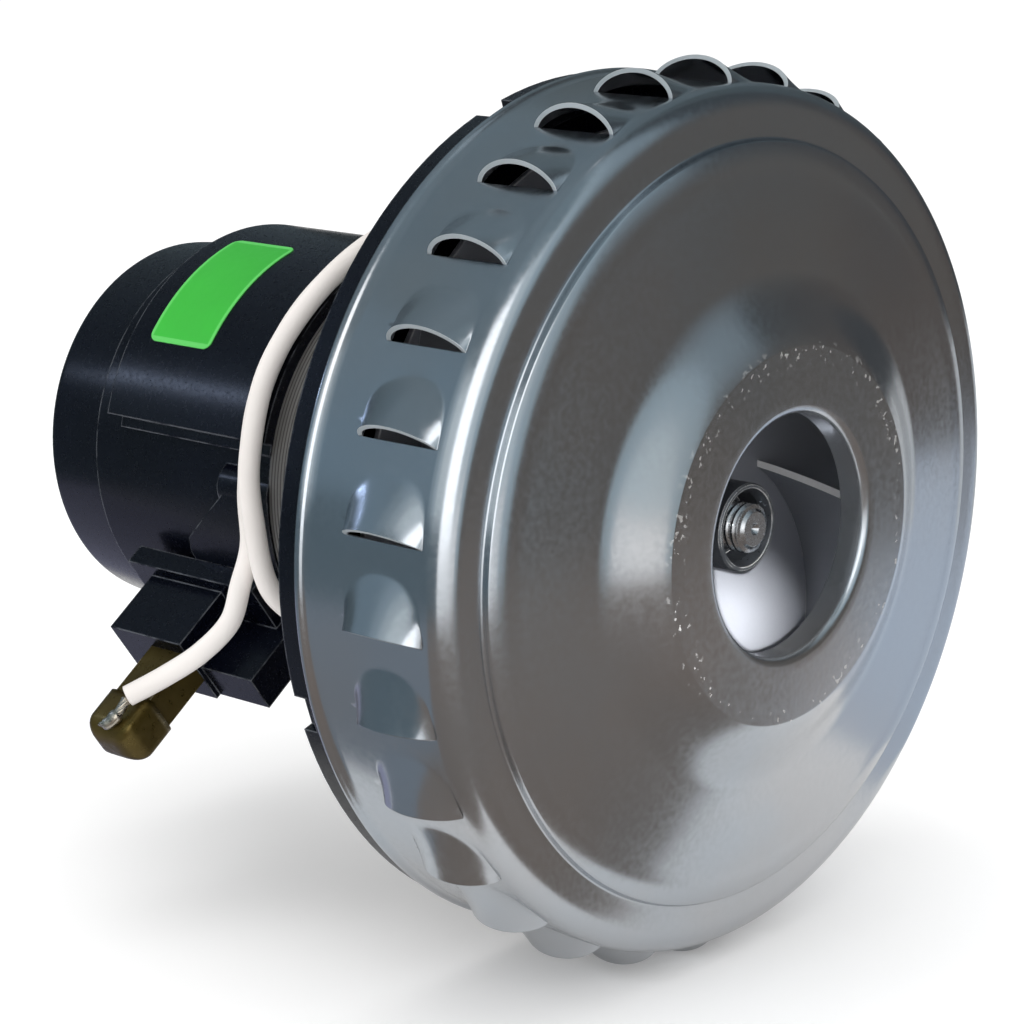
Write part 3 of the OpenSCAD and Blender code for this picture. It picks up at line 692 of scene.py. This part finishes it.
def tube(path: np.ndarray, radii: np.ndarray, sides: int) -> tuple[np.ndarray, list]:
    """Sweeps a round section along a path and closes both ends.

    Args:
        path: The path's points.
        radii: The section's radius at each of them.
        sides: Corners round the section.

    Returns:
        The corners and the faces.
    """
    tangents = np.gradient(path, axis=0)
    tangents /= np.linalg.norm(tangents, axis=1)[:, None]
    across = np.cross(tangents[0], OFF_PATH)
    turns = np.arange(sides) * 2 * math.pi / sides
    rings = []
    for point, tangent, radius in zip(path, tangents, radii):
        across = across - tangent * np.dot(across, tangent)
        across /= np.linalg.norm(across)
        up = np.cross(tangent, across)
        rings.append(point + radius * (np.cos(turns)[:, None] * across + np.sin(turns)[:, None] * up))
    last = (len(path) - 1) * sides
    ends = [list(range(sides))[::-1], list(range(last, last + sides))]
    return np.vstack(rings), grid_faces(len(path), sides, closed=True) + ends


@dataclass
class FanShell:
    """The pressed shell: one sheet with louvres round its side, a stepped face and a rolled inlet."""

    side_r: float = 70 * MM
    sheet: float = 0.75 * MM
    side_fillet: float = 4 * MM
    step_r: float = 61 * MM
    foot_r: float = 42 * MM
    boss_r: float = 30.3 * MM
    inlet_r: float = 19.5 * MM
    lip_r: float = 1.4 * MM
    throat_end: float = 5 * MM
    ring_x: float = RIM_X + 29.8 * MM
    plate_x: float = RIM_X + 32 * MM
    foot_x: float = RIM_X + 34.5 * MM
    step_steep: float = math.radians(72)
    step_gentle: float = math.radians(27)
    step_foot: float = 0.4 * MM
    step_wall: float = 0.7 * MM
    step_shoulder: float = 0.5 * MM
    louvre_x: float = RIM_X + 17.8 * MM
    louvres: int = 30
    louvre_turn: float = math.radians(5.3)
    louvre_half: float = 7.8 * MM
    louvre_back: float = 10 * MM
    louvre_rise: float = 3.8 * MM
    mouth_lean: float = math.radians(24)
    mouth_open: float = 0.999
    mouth_arch: float = 0.6
    back_arch: float = 0.8
    back_fall: float = 1.15
    back_swell: float = 0.35
    bead_r: float = 0.85 * MM
    bead_sweep: float = math.radians(150)
    crease: float = math.radians(40)
    flat_columns: int = 4
    dome_columns: int = 18
    band_rows: int = 28

    def build(self) -> bpy.types.Object:
        """Makes the sheet's outer face, gives it thickness and puts it in the solid's place.

        Returns:
            The shell.
        """
        rows = self.side_profile() + self.face_profile()
        backs = self.column_backs()
        points = np.array([self.corner(row, louvre, back) for row in rows for louvre in range(self.louvres)
                           for back in backs])
        shell = add_mesh("shell", *self.join_louvres(points, rows, len(backs)))
        solid = thicken(shell, self.sheet)
        solid.use_even_offset = False
        solid.material_offset_rim = 1
        shell.modifiers.new("crease", "EDGE_SPLIT").split_angle = self.crease
        stand_in(shell, "fan_shell", SHELL_STEEL)
        shell.data.materials.append(CUT_STEEL.material())
        return shell

    def corner(self, row: tuple[float, float], louvre: int, back: float) -> np.ndarray:
        """Gives one corner of the sheet.

        Args:
            row: The row's place along the shaft and its radius.
            louvre: The louvre's number.
            back: Distance behind the louvre's mouth.

        Returns:
            The corner.
        """
        x, radius = row
        mouth = self.louvre_turn + (louvre + 1) * 2 * math.pi / self.louvres
        rise = self.rise(back, x - self.louvre_x) if self.crosses(row, 1.0) else 0.0
        set_back = math.tan(self.mouth_lean) * rise * max(0.0, 1 - back / self.louvre_back) ** 2
        return polar(x, radius + rise, mouth - (back + set_back) / self.side_r)

    def crosses(self, row: tuple[float, float], share: float) -> bool:
        """Tells whether a row crosses the louvres, within a share of their half length."""
        x, radius = row
        return abs(x - self.louvre_x) < self.louvre_half * share and abs(radius - self.side_r) < 1e-9

    def join_louvres(self, points: np.ndarray, rows: list, span: int) -> tuple[np.ndarray, list]:
        """Joins neighbouring louvres' shares of the sheet, except along the open mouths.

        Args:
            points: The sheet's corners, row by row.
            rows: The rows as places along the shaft and radii.
            span: Columns in one louvre's share.

        Returns:
            The corners that are left and the faces.
        """
        width = self.louvres * span
        order = np.arange(self.louvres)
        joined = np.arange(len(points))
        for number, row in enumerate(rows):
            if not self.crosses(row, self.mouth_open):
                lips = number * width + order * span + span - 1
                joined[number * width + (order + 1) % self.louvres * span] = lips
        faces = [joined[face] for face in grid_faces(len(rows), width) if face[0] % span != span - 1]
        kept, numbers = np.unique(faces, return_inverse=True)
        return points[kept], numbers.reshape(-1, 4).tolist()

    def column_backs(self) -> list[float]:
        """Gives how far each column of one louvre's share lies behind the mouth.

        Returns:
            The distances, from far to near.
        """
        pitch = 2 * math.pi / self.louvres * self.side_r
        flat = np.linspace(pitch, self.louvre_back * 1.04, self.flat_columns + 1)[:-1]
        return [*flat, *np.linspace(self.louvre_back, 0, self.dome_columns)]

    def rise(self, back: float, along: float) -> float:
        """Gives how far a louvre stands out.

        Args:
            back: Distance behind the mouth.
            along: Distance from the louvre's middle along the shaft.

        Returns:
            The height over the side, 0 off the louvre.
        """
        behind = back / self.louvre_back
        if behind >= 1:
            return 0.0
        across = along / (self.louvre_half * (1 - behind ** 3) ** (1 / 3))
        if abs(across) >= 1:
            return 0.0
        arch = (1 - across * across) ** (self.mouth_arch + self.back_arch * behind)
        fall = (1 - behind) ** self.back_fall * (1 + self.back_swell * behind)
        return self.louvre_rise * arch * fall

    def side_profile(self) -> list[tuple[float, float]]:
        """Gives the side's rows from the rim's bead forward.

        Returns:
            Places along the shaft and radii.
        """
        start = self.louvre_x - self.louvre_half
        end = self.louvre_x + self.louvre_half
        fillet = self.ring_x - self.side_fillet
        bead_foot = self.side_r - 0.1 * MM
        bead = [(RIM_X + self.bead_r * (1 - math.cos(turn)), bead_foot + self.bead_r * math.sin(turn))
                for turn in np.linspace(0, self.bead_sweep, 13)]
        band = self.louvre_x - self.louvre_half * np.cos(np.linspace(0, math.pi, self.band_rows))
        behind = np.linspace(RIM_X + 2.4 * self.bead_r, start, 6)[:-1]
        ahead = np.linspace(end, fillet, 4)[1:-1]
        return bead + [(float(x), self.side_r) for x in (*behind, *band, *ahead)]

    def face_profile(self) -> list[tuple[float, float]]:
        """Gives the rows from the side's rounded edge over the face and into the inlet.

        Returns:
            Places along the shaft and radii.
        """
        middle_x = self.ring_x - self.side_fillet
        middle_r = self.side_r - self.side_fillet
        rows = [(middle_x + self.side_fillet * math.sin(turn), middle_r + self.side_fillet * math.cos(turn))
                for turn in np.linspace(0, math.pi / 2, 11)]
        step = self.step_profile()
        inner = step[-1][1]
        rows += [(self.ring_x, radius) for radius in np.linspace(middle_r, step[0][1], 5)[1:-1]] + step
        for share in np.linspace(0, 1, 10)[1:-1]:
            rows.append((self.plate_x + (self.foot_x - self.plate_x) * share,
                         inner + (self.foot_r - inner) * share))
        for share in [0, *np.linspace(0.012, 0.988, 20), 1]:
            bend = 0.5 * ease(share) + 0.25 * share + 0.25 * share ** 2
            rows.append((self.foot_x + (SEAT_X - self.foot_x) * bend,
                         self.foot_r + (self.boss_r - self.foot_r) * share))
        lip_start = self.inlet_r + self.lip_r
        rows += [(SEAT_X, radius) for radius in np.linspace(self.boss_r - 0.15 * MM, lip_start, 8)]
        rows += [(SEAT_X - self.lip_r * (1 - math.cos(turn)), lip_start - self.lip_r * math.sin(turn))
                 for turn in np.linspace(0, math.pi / 2, 8)[1:]]
        throat = np.linspace(SEAT_X - self.lip_r, SEAT_X - self.throat_end, 4)[1:]
        return rows + [(x, self.inlet_r) for x in throat]

    def step_profile(self) -> list[tuple[float, float]]:
        """Gives the step's rows: tight foot, steep wall, tight shoulder, then a long slope up to the face.

        Returns:
            Places along the shaft and radii.
        """
        steep, gentle = self.step_steep, self.step_gentle
        climbed = self.step_foot * (1 - math.cos(steep)) + self.step_wall * math.sin(steep)
        climbed += self.step_shoulder * (math.cos(gentle) - math.cos(steep))
        slope = (self.plate_x - self.ring_x - climbed) / (1 - math.cos(gentle))
        bends = [(0.0, steep, self.step_foot * steep, 5), (steep, steep, self.step_wall, 2),
                 (steep, gentle, self.step_shoulder * (steep - gentle), 5), (gentle, 0.0, slope * gentle, 9)]
        spot = np.array([self.ring_x, self.step_r + 0.9 * MM])
        rows = [tuple(spot)]
        for first, last, length, count in bends:
            for share in (np.arange(count) + 0.5) / count:
                heading = first + (last - first) * share
                spot = spot + length / count * np.array([math.sin(heading), -math.cos(heading)])
                rows.append(tuple(spot))
        return rows


@dataclass
class Leads:
    """Two sleeved leads from the field coils to the brush caps. Their sizes are in mm, as their routes are."""

    lead_r: float = 1.8
    sides: int = 20
    steps: int = 10
    gap: float = 0.4
    saddle_r: float = 38.0
    field_r: float = 36.0
    coil_r: float = 28.4
    block_r: float = 50.5
    start_r: float = 64.3
    lean: float = 5.89
    stack_x: float = -41.0
    front_x: float = -15.0

    def routes(self) -> dict[str, list]:
        """Gives the routes: distance from the axis, angle about it in degrees, and place from the shell's rim.

        Returns:
            The routes by the leads' nodes.
        """
        saddle = self.saddle_r + self.lead_r + self.gap
        second = saddle + self.lead_r + 1.4
        field = self.field_r + self.lead_r + self.gap
        coil = self.coil_r + self.lead_r + 0.2
        block = self.block_r + self.lead_r + 2.2
        brush, stack, front, turn = -BRUSH_BACK, self.stack_x, self.front_x, BRUSH_TURN
        first_route = [
            (self.start_r, turn - self.lean, brush + 3), (self.start_r - 5.6, turn - 6.6, brush + 7.6),
            (self.start_r - 10.3, turn - 9, brush + 13), (self.start_r - 15.3, turn - 13, brush + 17),
            (self.start_r - 19.3, turn - 19, brush + 17.6), (saddle + self.gap, 190, stack - 0.4),
            (saddle, 176, stack - 0.6), (saddle, 155, stack - 1.4), (saddle, 133, stack - 1.2),
            (saddle, 111, stack - 0.6), (saddle, 88, stack - 0.2), (saddle, 66, stack + 1.5),
            (field, 58, stack + 7), (field, 55, front - 7), (field - 0.6, 54, front + 2), (coil, 53, front + 4)]
        second_route = [
            (coil, 226, front + 4), (field - 0.6, 224, front + 2), (field, 220, front - 7),
            (field + 1, 214, stack + 11), (field + 3.2, 206, stack + 6.4), (second, 197, stack + 5),
            (second, 184, stack + 4.1), (second, 170, stack + 2.6), (second, 150, stack + 1.8),
            (second, 130, stack + 3.2), (second, 110, stack + 4), (second + self.gap, 88, stack + 3),
            (second + 1.4, 70, stack), (block - 3, 54, stack - 3), (block, turn - 176, brush + 12),
            (self.start_r - 6.3, turn - 186, brush + 7), (self.start_r, turn - 180 - self.lean, brush + 3)]
        return {"lead_a": first_route, "lead_b": second_route}

    def build(self) -> list[bpy.types.Object]:
        """Makes both sleeves.

        Returns:
            The sleeves.
        """
        made = []
        for node, route in self.routes().items():
            knots = [polar(RIM_X + x * MM, radius * MM, math.radians(turn)) for radius, turn, x in route]
            path = smooth_path(np.array(knots), self.steps)
            swept = tube(path, np.full(len(path), self.lead_r * MM), self.sides)
            sleeve = add_mesh(f"sleeve_{node[-1]}", *swept)
            stand_in(sleeve, node, SLEEVE_WHITE)
            made.append(sleeve)
        return made


@dataclass
class BrushSprings:
    """The coil springs that push the carbon brushes, built at one length; the real ones shorten as the brushes
    move out.
    """

    inner_end: float = 41.6 * MM
    outer_end: float = 68.8 * MM
    coil_r: float = 1.9 * MM
    wire_r: float = 0.4 * MM
    closed_pitch: float = 0.88 * MM
    turns: int = 8
    turn_steps: int = 24
    sides: int = 8
    travel: float = 8 * MM

    def build(self) -> list[bpy.types.Object]:
        """Makes both springs.

        Returns:
            The springs.
        """
        made = []
        turns = np.linspace(0, self.turns * 2 * math.pi, self.turns * self.turn_steps + 1)
        reach = np.interp(turns, [0, 2 * math.pi, turns[-1] - 2 * math.pi, turns[-1]],
                          [self.inner_end, self.inner_end + self.closed_pitch,
                           self.outer_end - self.closed_pitch, self.outer_end])
        for side, letter in enumerate("ab"):
            out, across = brush_axes(side)
            middle = ALONG * BRUSH_X
            path = np.array([middle + out * r + self.coil_r * (across * math.cos(turn) + ALONG * math.sin(turn))
                             for r, turn in zip(reach, turns)])
            spring = add_mesh(f"spring_{letter}", *tube(path, np.full(len(path), self.wire_r), self.sides))
            stand_in(spring, f"brush_spring_{letter}", BRIGHT_STEEL)
            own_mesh(spring)
            made.append(spring)
        return made


@dataclass
class BrushCaps:
    """The brass caps on the ends of the brush tubes: drawn boxes with a domed end."""

    mouth_r: float = 62 * MM
    end_r: float = 70.8 * MM
    half_along: float = 5.2 * MM
    half_across: float = 4.3 * MM
    dome: float = 3.4 * MM
    sheet: float = 0.75 * MM
    squareness: float = 7.0
    corners: int = 48

    def build(self) -> list[bpy.types.Object]:
        """Makes both caps.

        Returns:
            The caps.
        """
        made = []
        for side, letter in enumerate("ab"):
            cap = add_mesh(f"cap_{letter}", *self.box(side))
            thicken(cap, self.sheet)
            stand_in(cap, f"brush_cap_{letter}", BRASS)
            made.append(cap)
        return made

    def box(self, side: int) -> tuple[np.ndarray, list]:
        """Lofts one cap's outer face, from its open mouth to its domed end.

        Args:
            side: 0 for the brush in view, 1 for the one opposite.

        Returns:
            The corners and the faces.
        """
        out, across = brush_axes(side)
        shoulder = self.end_r - self.dome
        levels = [(float(reach), 0.0) for reach in np.linspace(self.mouth_r, shoulder, 5)[:-1]]
        levels += [(shoulder + self.dome * math.sin(turn), self.dome * (1 - math.cos(turn)))
                   for turn in np.linspace(0, math.pi / 2, 10)]
        turns = np.arange(self.corners) * 2 * math.pi / self.corners
        power = 2 / self.squareness
        first = np.sign(np.cos(turns)) * np.abs(np.cos(turns)) ** power
        second = np.sign(np.sin(turns)) * np.abs(np.sin(turns)) ** power
        rings = [ALONG * BRUSH_X + out * reach + np.outer(first * (self.half_along - inset), ALONG)
                 + np.outer(second * (self.half_across - inset), across) for reach, inset in levels]
        sides = [[a, d, c, b] for a, b, c, d in grid_faces(len(levels), self.corners, closed=True)]
        last = (len(levels) - 1) * self.corners
        return np.vstack(rings), sides + [list(range(last, last + self.corners))[::-1]]


@dataclass
class LeadEnds:
    """The leads' bare ends: twisted strands that are soldered to the brush caps."""

    start_r: float = 64.5 * MM
    cap_r: float = 70 * MM
    cap_half: float = 4.3 * MM
    strand_r: float = 0.32 * MM
    bundle_r: float = 0.55 * MM
    strands: int = 6
    twist: float = 5.0
    steps: int = 8
    strand_sides: int = 8
    solder_sides: int = 16
    solder_least: float = 0.3 * MM
    solder_start: float = 0.35 * MM
    solder_swell: float = 0.85 * MM
    solder_ripple: float = 0.12 * MM

    def build(self) -> bpy.types.Object:
        """Makes both ends as one piece.

        Returns:
            The strands and the solder on them.
        """
        points, faces = [], []
        for side in (0, 1):
            for corners, sweep in [*self.strand_bundle(side), self.solder(side)]:
                shift = sum(len(p) for p in points)
                points.append(corners)
                faces += [[v + shift for v in face] for face in sweep]
        ends = add_mesh("lead_ends", np.vstack(points), faces)
        stand_in(ends, "lead_tips", TINNED_WIRE)
        return ends

    def line(self, side: int) -> np.ndarray:
        """Gives the line that one bare end follows.

        Args:
            side: 0 for the brush in view, 1 for the one opposite.

        Returns:
            The line's knots.
        """
        out, across = brush_axes(side)
        knots = [(self.start_r, -self.cap_half - 2.1 * MM, 3 * MM),
                 (self.start_r + 2.3 * MM, -self.cap_half - 1.5 * MM, 2.8 * MM),
                 (self.start_r + 4.3 * MM, -self.cap_half - 1.0 * MM, 2 * MM),
                 (self.cap_r, -self.cap_half - 1.0 * MM, 1 * MM)]
        return np.array([ALONG * (BRUSH_X + z) + out * x + across * y for x, y, z in knots])

    def strand_bundle(self, side: int) -> list[tuple[np.ndarray, list]]:
        """Sweeps the twisted strands of one end.

        Args:
            side: 0 for the brush in view, 1 for the one opposite.

        Returns:
            Each strand's corners and faces.
        """
        path = smooth_path(self.line(side), self.steps)
        second = np.cross(path[-1] - path[0], ALONG)
        second /= np.linalg.norm(second)
        swept = []
        for strand in range(self.strands):
            turn = strand * 2 * math.pi / self.strands + np.linspace(0, self.twist, len(path))
            off = self.bundle_r * (np.cos(turn)[:, None] * ALONG + np.sin(turn)[:, None] * second)
            swept.append(tube(path + off, np.full(len(path), self.strand_r), self.strand_sides))
        return swept

    def solder(self, side: int) -> tuple[np.ndarray, list]:
        """Sweeps the uneven bead of solder over one end.

        Args:
            side: 0 for the brush in view, 1 for the one opposite.

        Returns:
            The corners and the faces.
        """
        path = smooth_path(self.line(side)[1:], self.steps)
        share = np.linspace(0, 1, len(path))
        swell = np.sin(math.pi * share ** 0.8) ** 0.7
        radii = self.solder_start + self.solder_swell * swell + self.solder_ripple * np.sin(9 * share)
        return tube(path, np.clip(radii, self.solder_least, None), self.solder_sides)


@dataclass(frozen=True)
class Hood:
    """A part of the hood that the metal mirrors: its spread in degrees about +Z and over the level."""

    name: str
    turns: tuple[float, float]
    lifts: tuple[float, float]
    low: str
    high: str


@dataclass(frozen=True)
class Mat:
    """A flat mat that the metal mirrors: its corners in X and Y, in mm."""

    name: str
    corners: tuple[tuple[float, float], ...]
    colour: str


HOODS = (
    Hood("front band", (330, 356), (2, 48), "dbe6ea", "dbe6ea"),
    Hood("right blend", (-4, 14), (-14, 88), "b4c4cc", "b4c4cc"),
    Hood("right hood", (14, 42), (-14, 88), "6d6864", "9aa8b0"),
    Hood("far hood", (42, 64), (-14, 88), "6a6662", "4c5256"),
    Hood("side hood", (64, 82), (-8.5, 88), "605b58", "4c5256"),
    Hood("corner foot", (82, 112), (-14, 0), "c4c8cb", "c4c8cb"),
    Hood("corner hood", (82, 112), (0, 88), "46494c", "5a6468"),
    Hood("back hood", (112, 150), (8, 88), "4a5052", "6a767c"),
    Hood("left back hood", (150, 207), (-14, 88), "5a666c", "76848c"),
    Hood("left foot", (207, 290), (-14, 5), "6a7880", "6a7880"),
    Hood("left band", (207, 238), (5, 36), "8496a2", "8496a2"),
    Hood("left blend", (238, 250), (5, 36), "a2b2bc", "a2b2bc"),
    Hood("near blend", (250, 262), (5, 36), "c6d2d8", "c6d2d8"),
    Hood("near band", (262, 290), (5, 36), "eaf2f5", "eaf2f5"),
    Hood("left top", (207, 290), (36, 88), "7c8a92", "7c8a92"),
    Hood("front top", (290, 356), (48, 88), "82929a", "82929a"),
)

MATS = (
    Mat("dark mat", ((20, 4), (240, 400), (330, 200), (260, -60), (190, -190), (60, -290), (-60, -310),
                     (-60, -72), (28, -72)), "837a74"),
    Mat("left mat", ((-60, -72), (-60, -310), (-400, -450), (-400, -160)), "838a92"),
    Mat("barrel mat", ((-90, -20), (-90, -75), (-400, -160), (-400, 80)), "a0a2ba"),
    Mat("pale mat", ((25, 90), (60, 90), (230, 400), (0, 600), (-100, 600), (-40, 110)), "c8d0dc"),
)


@dataclass
class Stage:
    """Floor, light and camera."""

    floor_z: float = -73.8 * MM
    floor_size: float = 12.0
    floor_glow: float = 0.12
    mat_lift: float = 0.5 * MM
    hood_r: float = 0.30
    hood_low: float = 0.05
    hood_high: float = 0.24
    world_light: float = 0.94
    key_at: tuple = (0.86, -0.74, 0.42)
    key_size: float = 1.1
    key_power: float = 5.0
    top_at: tuple = (-0.2, -0.3, 1.4)
    top_size: float = 0.9
    top_power: float = 4.0
    inlet_lamp_at: tuple = (0.475, -0.631, 0.199)
    inlet_lamp_to: tuple = (-30 * MM, 23.5 * MM, -24.5 * MM)
    inlet_lamp_spread: float = math.radians(1)
    inlet_lamp_power: float = 300.0
    inlet_lamp_blend: float = 0.4
    inlet_lamp_r: float = 10 * MM
    strip_ends: tuple = ((-268 * MM, -102 * MM, 60 * MM), (-140 * MM, -102 * MM, 60 * MM))
    strip_width: float = 8 * MM
    strip_glow: float = 6.5
    camera_at: tuple = (285.65 * MM, -382.49 * MM, 115.46 * MM)
    azimuth: float = math.radians(41.77)
    elevation: float = math.radians(13.25)
    lens: float = 109.1

    def build(self) -> None:
        """Adds everything that isn't the object."""
        self.floor()
        self.world()
        for name, at, size, power in (("key lamp", self.key_at, self.key_size, self.key_power),
                                      ("top lamp", self.top_at, self.top_size, self.top_power)):
            lamp = self.lamp(name, "AREA", at, (0, 0, 0), power)
            lamp.size = size
        spot = self.lamp("inlet lamp", "SPOT", self.inlet_lamp_at, self.inlet_lamp_to, self.inlet_lamp_power)
        spot.spot_size = self.inlet_lamp_spread
        spot.spot_blend = self.inlet_lamp_blend
        spot.shadow_soft_size = self.inlet_lamp_r
        for hood in HOODS:
            self.hood(hood)
        for mat in MATS:
            self.mat(mat)
        self.strip()
        self.camera()

    def floor(self) -> None:
        """Adds the pale floor."""
        bpy.ops.mesh.primitive_plane_add(size=self.floor_size, location=(0, 0, self.floor_z))
        floor = bpy.context.object
        floor.name = "floor"
        graph, shader = self.plain_paint(floor, (0.96, 0.96, 0.96))
        shader.inputs["Emission Color"].default_value = (1, 1, 1, 1)
        seen = graph.add("ShaderNodeLightPath").outputs["Is Camera Ray"]
        graph.tree.links.new(graph.math("MULTIPLY", seen, self.floor_glow), shader.inputs["Emission Strength"])

    def hood(self, hood: Hood) -> None:
        """Adds a part of the hood, from its low colour beside the object to its high colour overhead.

        Args:
            hood: The part.
        """
        around = np.radians(np.linspace(*hood.turns, 25))
        upward = np.radians(np.linspace(*hood.lifts, 16))
        points = np.array([(math.cos(lift) * math.cos(turn), math.cos(lift) * math.sin(turn), math.sin(lift))
                           for lift in upward for turn in around]) * self.hood_r
        piece = add_mesh(hood.name, points, grid_faces(len(upward), len(around)))
        graph, shader = self.plain_paint(piece, linear(hood.low))
        where = graph.add("ShaderNodeTexCoord").outputs["Object"]
        height = graph.add("ShaderNodeSeparateXYZ", {0: where}).outputs[2]
        share = graph.remap(height, self.hood_low, self.hood_high)
        colour = graph.mix(share, linear(hood.low), linear(hood.high))
        graph.tree.links.new(colour, shader.inputs["Base Color"])
        self.hide_card(piece)

    def mat(self, mat: Mat) -> None:
        """Adds a mat just over the floor.

        Args:
            mat: The mat.
        """
        points = np.array([(x * MM, y * MM, self.floor_z + self.mat_lift) for x, y in mat.corners])
        piece = add_mesh(mat.name, points, [list(range(len(points)))])
        self.plain_paint(piece, linear(mat.colour))
        self.hide_card(piece)

    def strip(self) -> None:
        """Adds a thin glowing strip that faces the shaft, for the black barrel to mirror."""
        first, last = np.array(self.strip_ends)
        out = first * (0, 1, 1)
        across = np.cross(ALONG, out / np.linalg.norm(out)) * self.strip_width / 2
        points = np.array([first - across, last - across, last + across, first + across])
        piece = add_mesh("barrel strip", points, [[0, 1, 2, 3]])
        shader = self.plain_paint(piece, (0.8, 0.8, 0.8))[1]
        shader.inputs["Emission Color"].default_value = (*linear("c4d8ff"), 1)
        shader.inputs["Emission Strength"].default_value = self.strip_glow
        self.hide_card(piece)

    def plain_paint(self, piece: bpy.types.Object, colour: Colour) -> tuple[Graph, bpy.types.Node]:
        """Gives a piece of the stage a dull material.

        Args:
            piece: The piece.
            colour: Its colour.

        Returns:
            The material's tree and its shader.
        """
        made = bpy.data.materials.new(piece.name)
        made.use_nodes = True
        shader = made.node_tree.nodes["Principled BSDF"]
        shader.inputs["Base Color"].default_value = (*colour, 1)
        shader.inputs["Roughness"].default_value = 0.9
        shader.inputs["Specular IOR Level"].default_value = 0.0
        piece.data.materials.append(made)
        return Graph(made.node_tree), shader

    def hide_card(self, piece: bpy.types.Object) -> None:
        """Leaves a piece of the stage to be seen in mirrors only.

        Args:
            piece: The piece.
        """
        piece.visible_camera = False
        piece.visible_shadow = False
        piece.visible_diffuse = False

    def lamp(self, name: str, kind: str, at: tuple, target: tuple, power: float) -> bpy.types.Light:
        """Adds a lamp that points at a place.

        Args:
            name: The lamp's name.
            kind: Blender's type of lamp.
            at: Where it hangs.
            target: The place that it points at.
            power: Its power in watts.

        Returns:
            The lamp's settings.
        """
        data = bpy.data.lights.new(name, kind)
        data.energy = power
        lamp = bpy.data.objects.new(name, data)
        lamp.location = at
        lamp.rotation_euler = (Vector(target) - Vector(at)).to_track_quat("-Z", "Y").to_euler()
        bpy.context.scene.collection.objects.link(lamp)
        return data

    def world(self) -> None:
        """Makes a white surrounding that lights the object a little less than it shows."""
        world = bpy.data.worlds.new("studio")
        world.use_nodes = True
        bpy.context.scene.world = world
        graph = Graph(world.node_tree)
        path = graph.add("ShaderNodeLightPath")
        seen = graph.math("MAXIMUM", path.outputs["Is Camera Ray"], path.outputs["Is Glossy Ray"])
        seen = graph.math("MAXIMUM", seen, path.outputs["Is Transmission Ray"])
        strength = graph.remap(seen, 0.0, 1.0, self.world_light, 1.0)
        back = world.node_tree.nodes["Background"]
        back.inputs["Color"].default_value = (1, 1, 1, 1)
        graph.tree.links.new(strength, back.inputs["Strength"])

    def camera(self) -> None:
        """Adds the camera where the photograph was taken from."""
        data = bpy.data.cameras.new("camera")
        data.lens = self.lens
        data.sensor_width = 36
        camera = bpy.data.objects.new("camera", data)
        level = math.cos(self.elevation)
        back = Vector((math.sin(self.azimuth) * level, -math.cos(self.azimuth) * level,
                       math.sin(self.elevation)))
        camera.location = self.camera_at
        camera.rotation_euler = back.to_track_quat("Z", "Y").to_euler()
        bpy.context.scene.collection.objects.link(camera)
        bpy.context.scene.camera = camera


def main() -> None:
    """Builds the object's looks and its surroundings."""
    logging.basicConfig(level=logging.INFO, format="%(name)s: %(message)s")
    for assembly in (FanShell(), Leads(), BrushSprings(), BrushCaps(), LeadEnds()):
        made = assembly.build()
        for piece in made if isinstance(made, list) else [made]:
            log.info("built %s, %d faces", piece.name, len(piece.data.polygons))
    for finish, nodes in CAD_FINISHES.items():
        for node in nodes:
            dress(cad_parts[node], finish)
        log.info("%s on %s", finish.name, ", ".join(nodes))
    for node, width in ROUNDED.items():
        soften(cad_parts[node], width)
    Stage().build()
    scene = bpy.context.scene
    scene.view_settings.view_transform = "Standard"


if __name__ == "__main__":
    main()
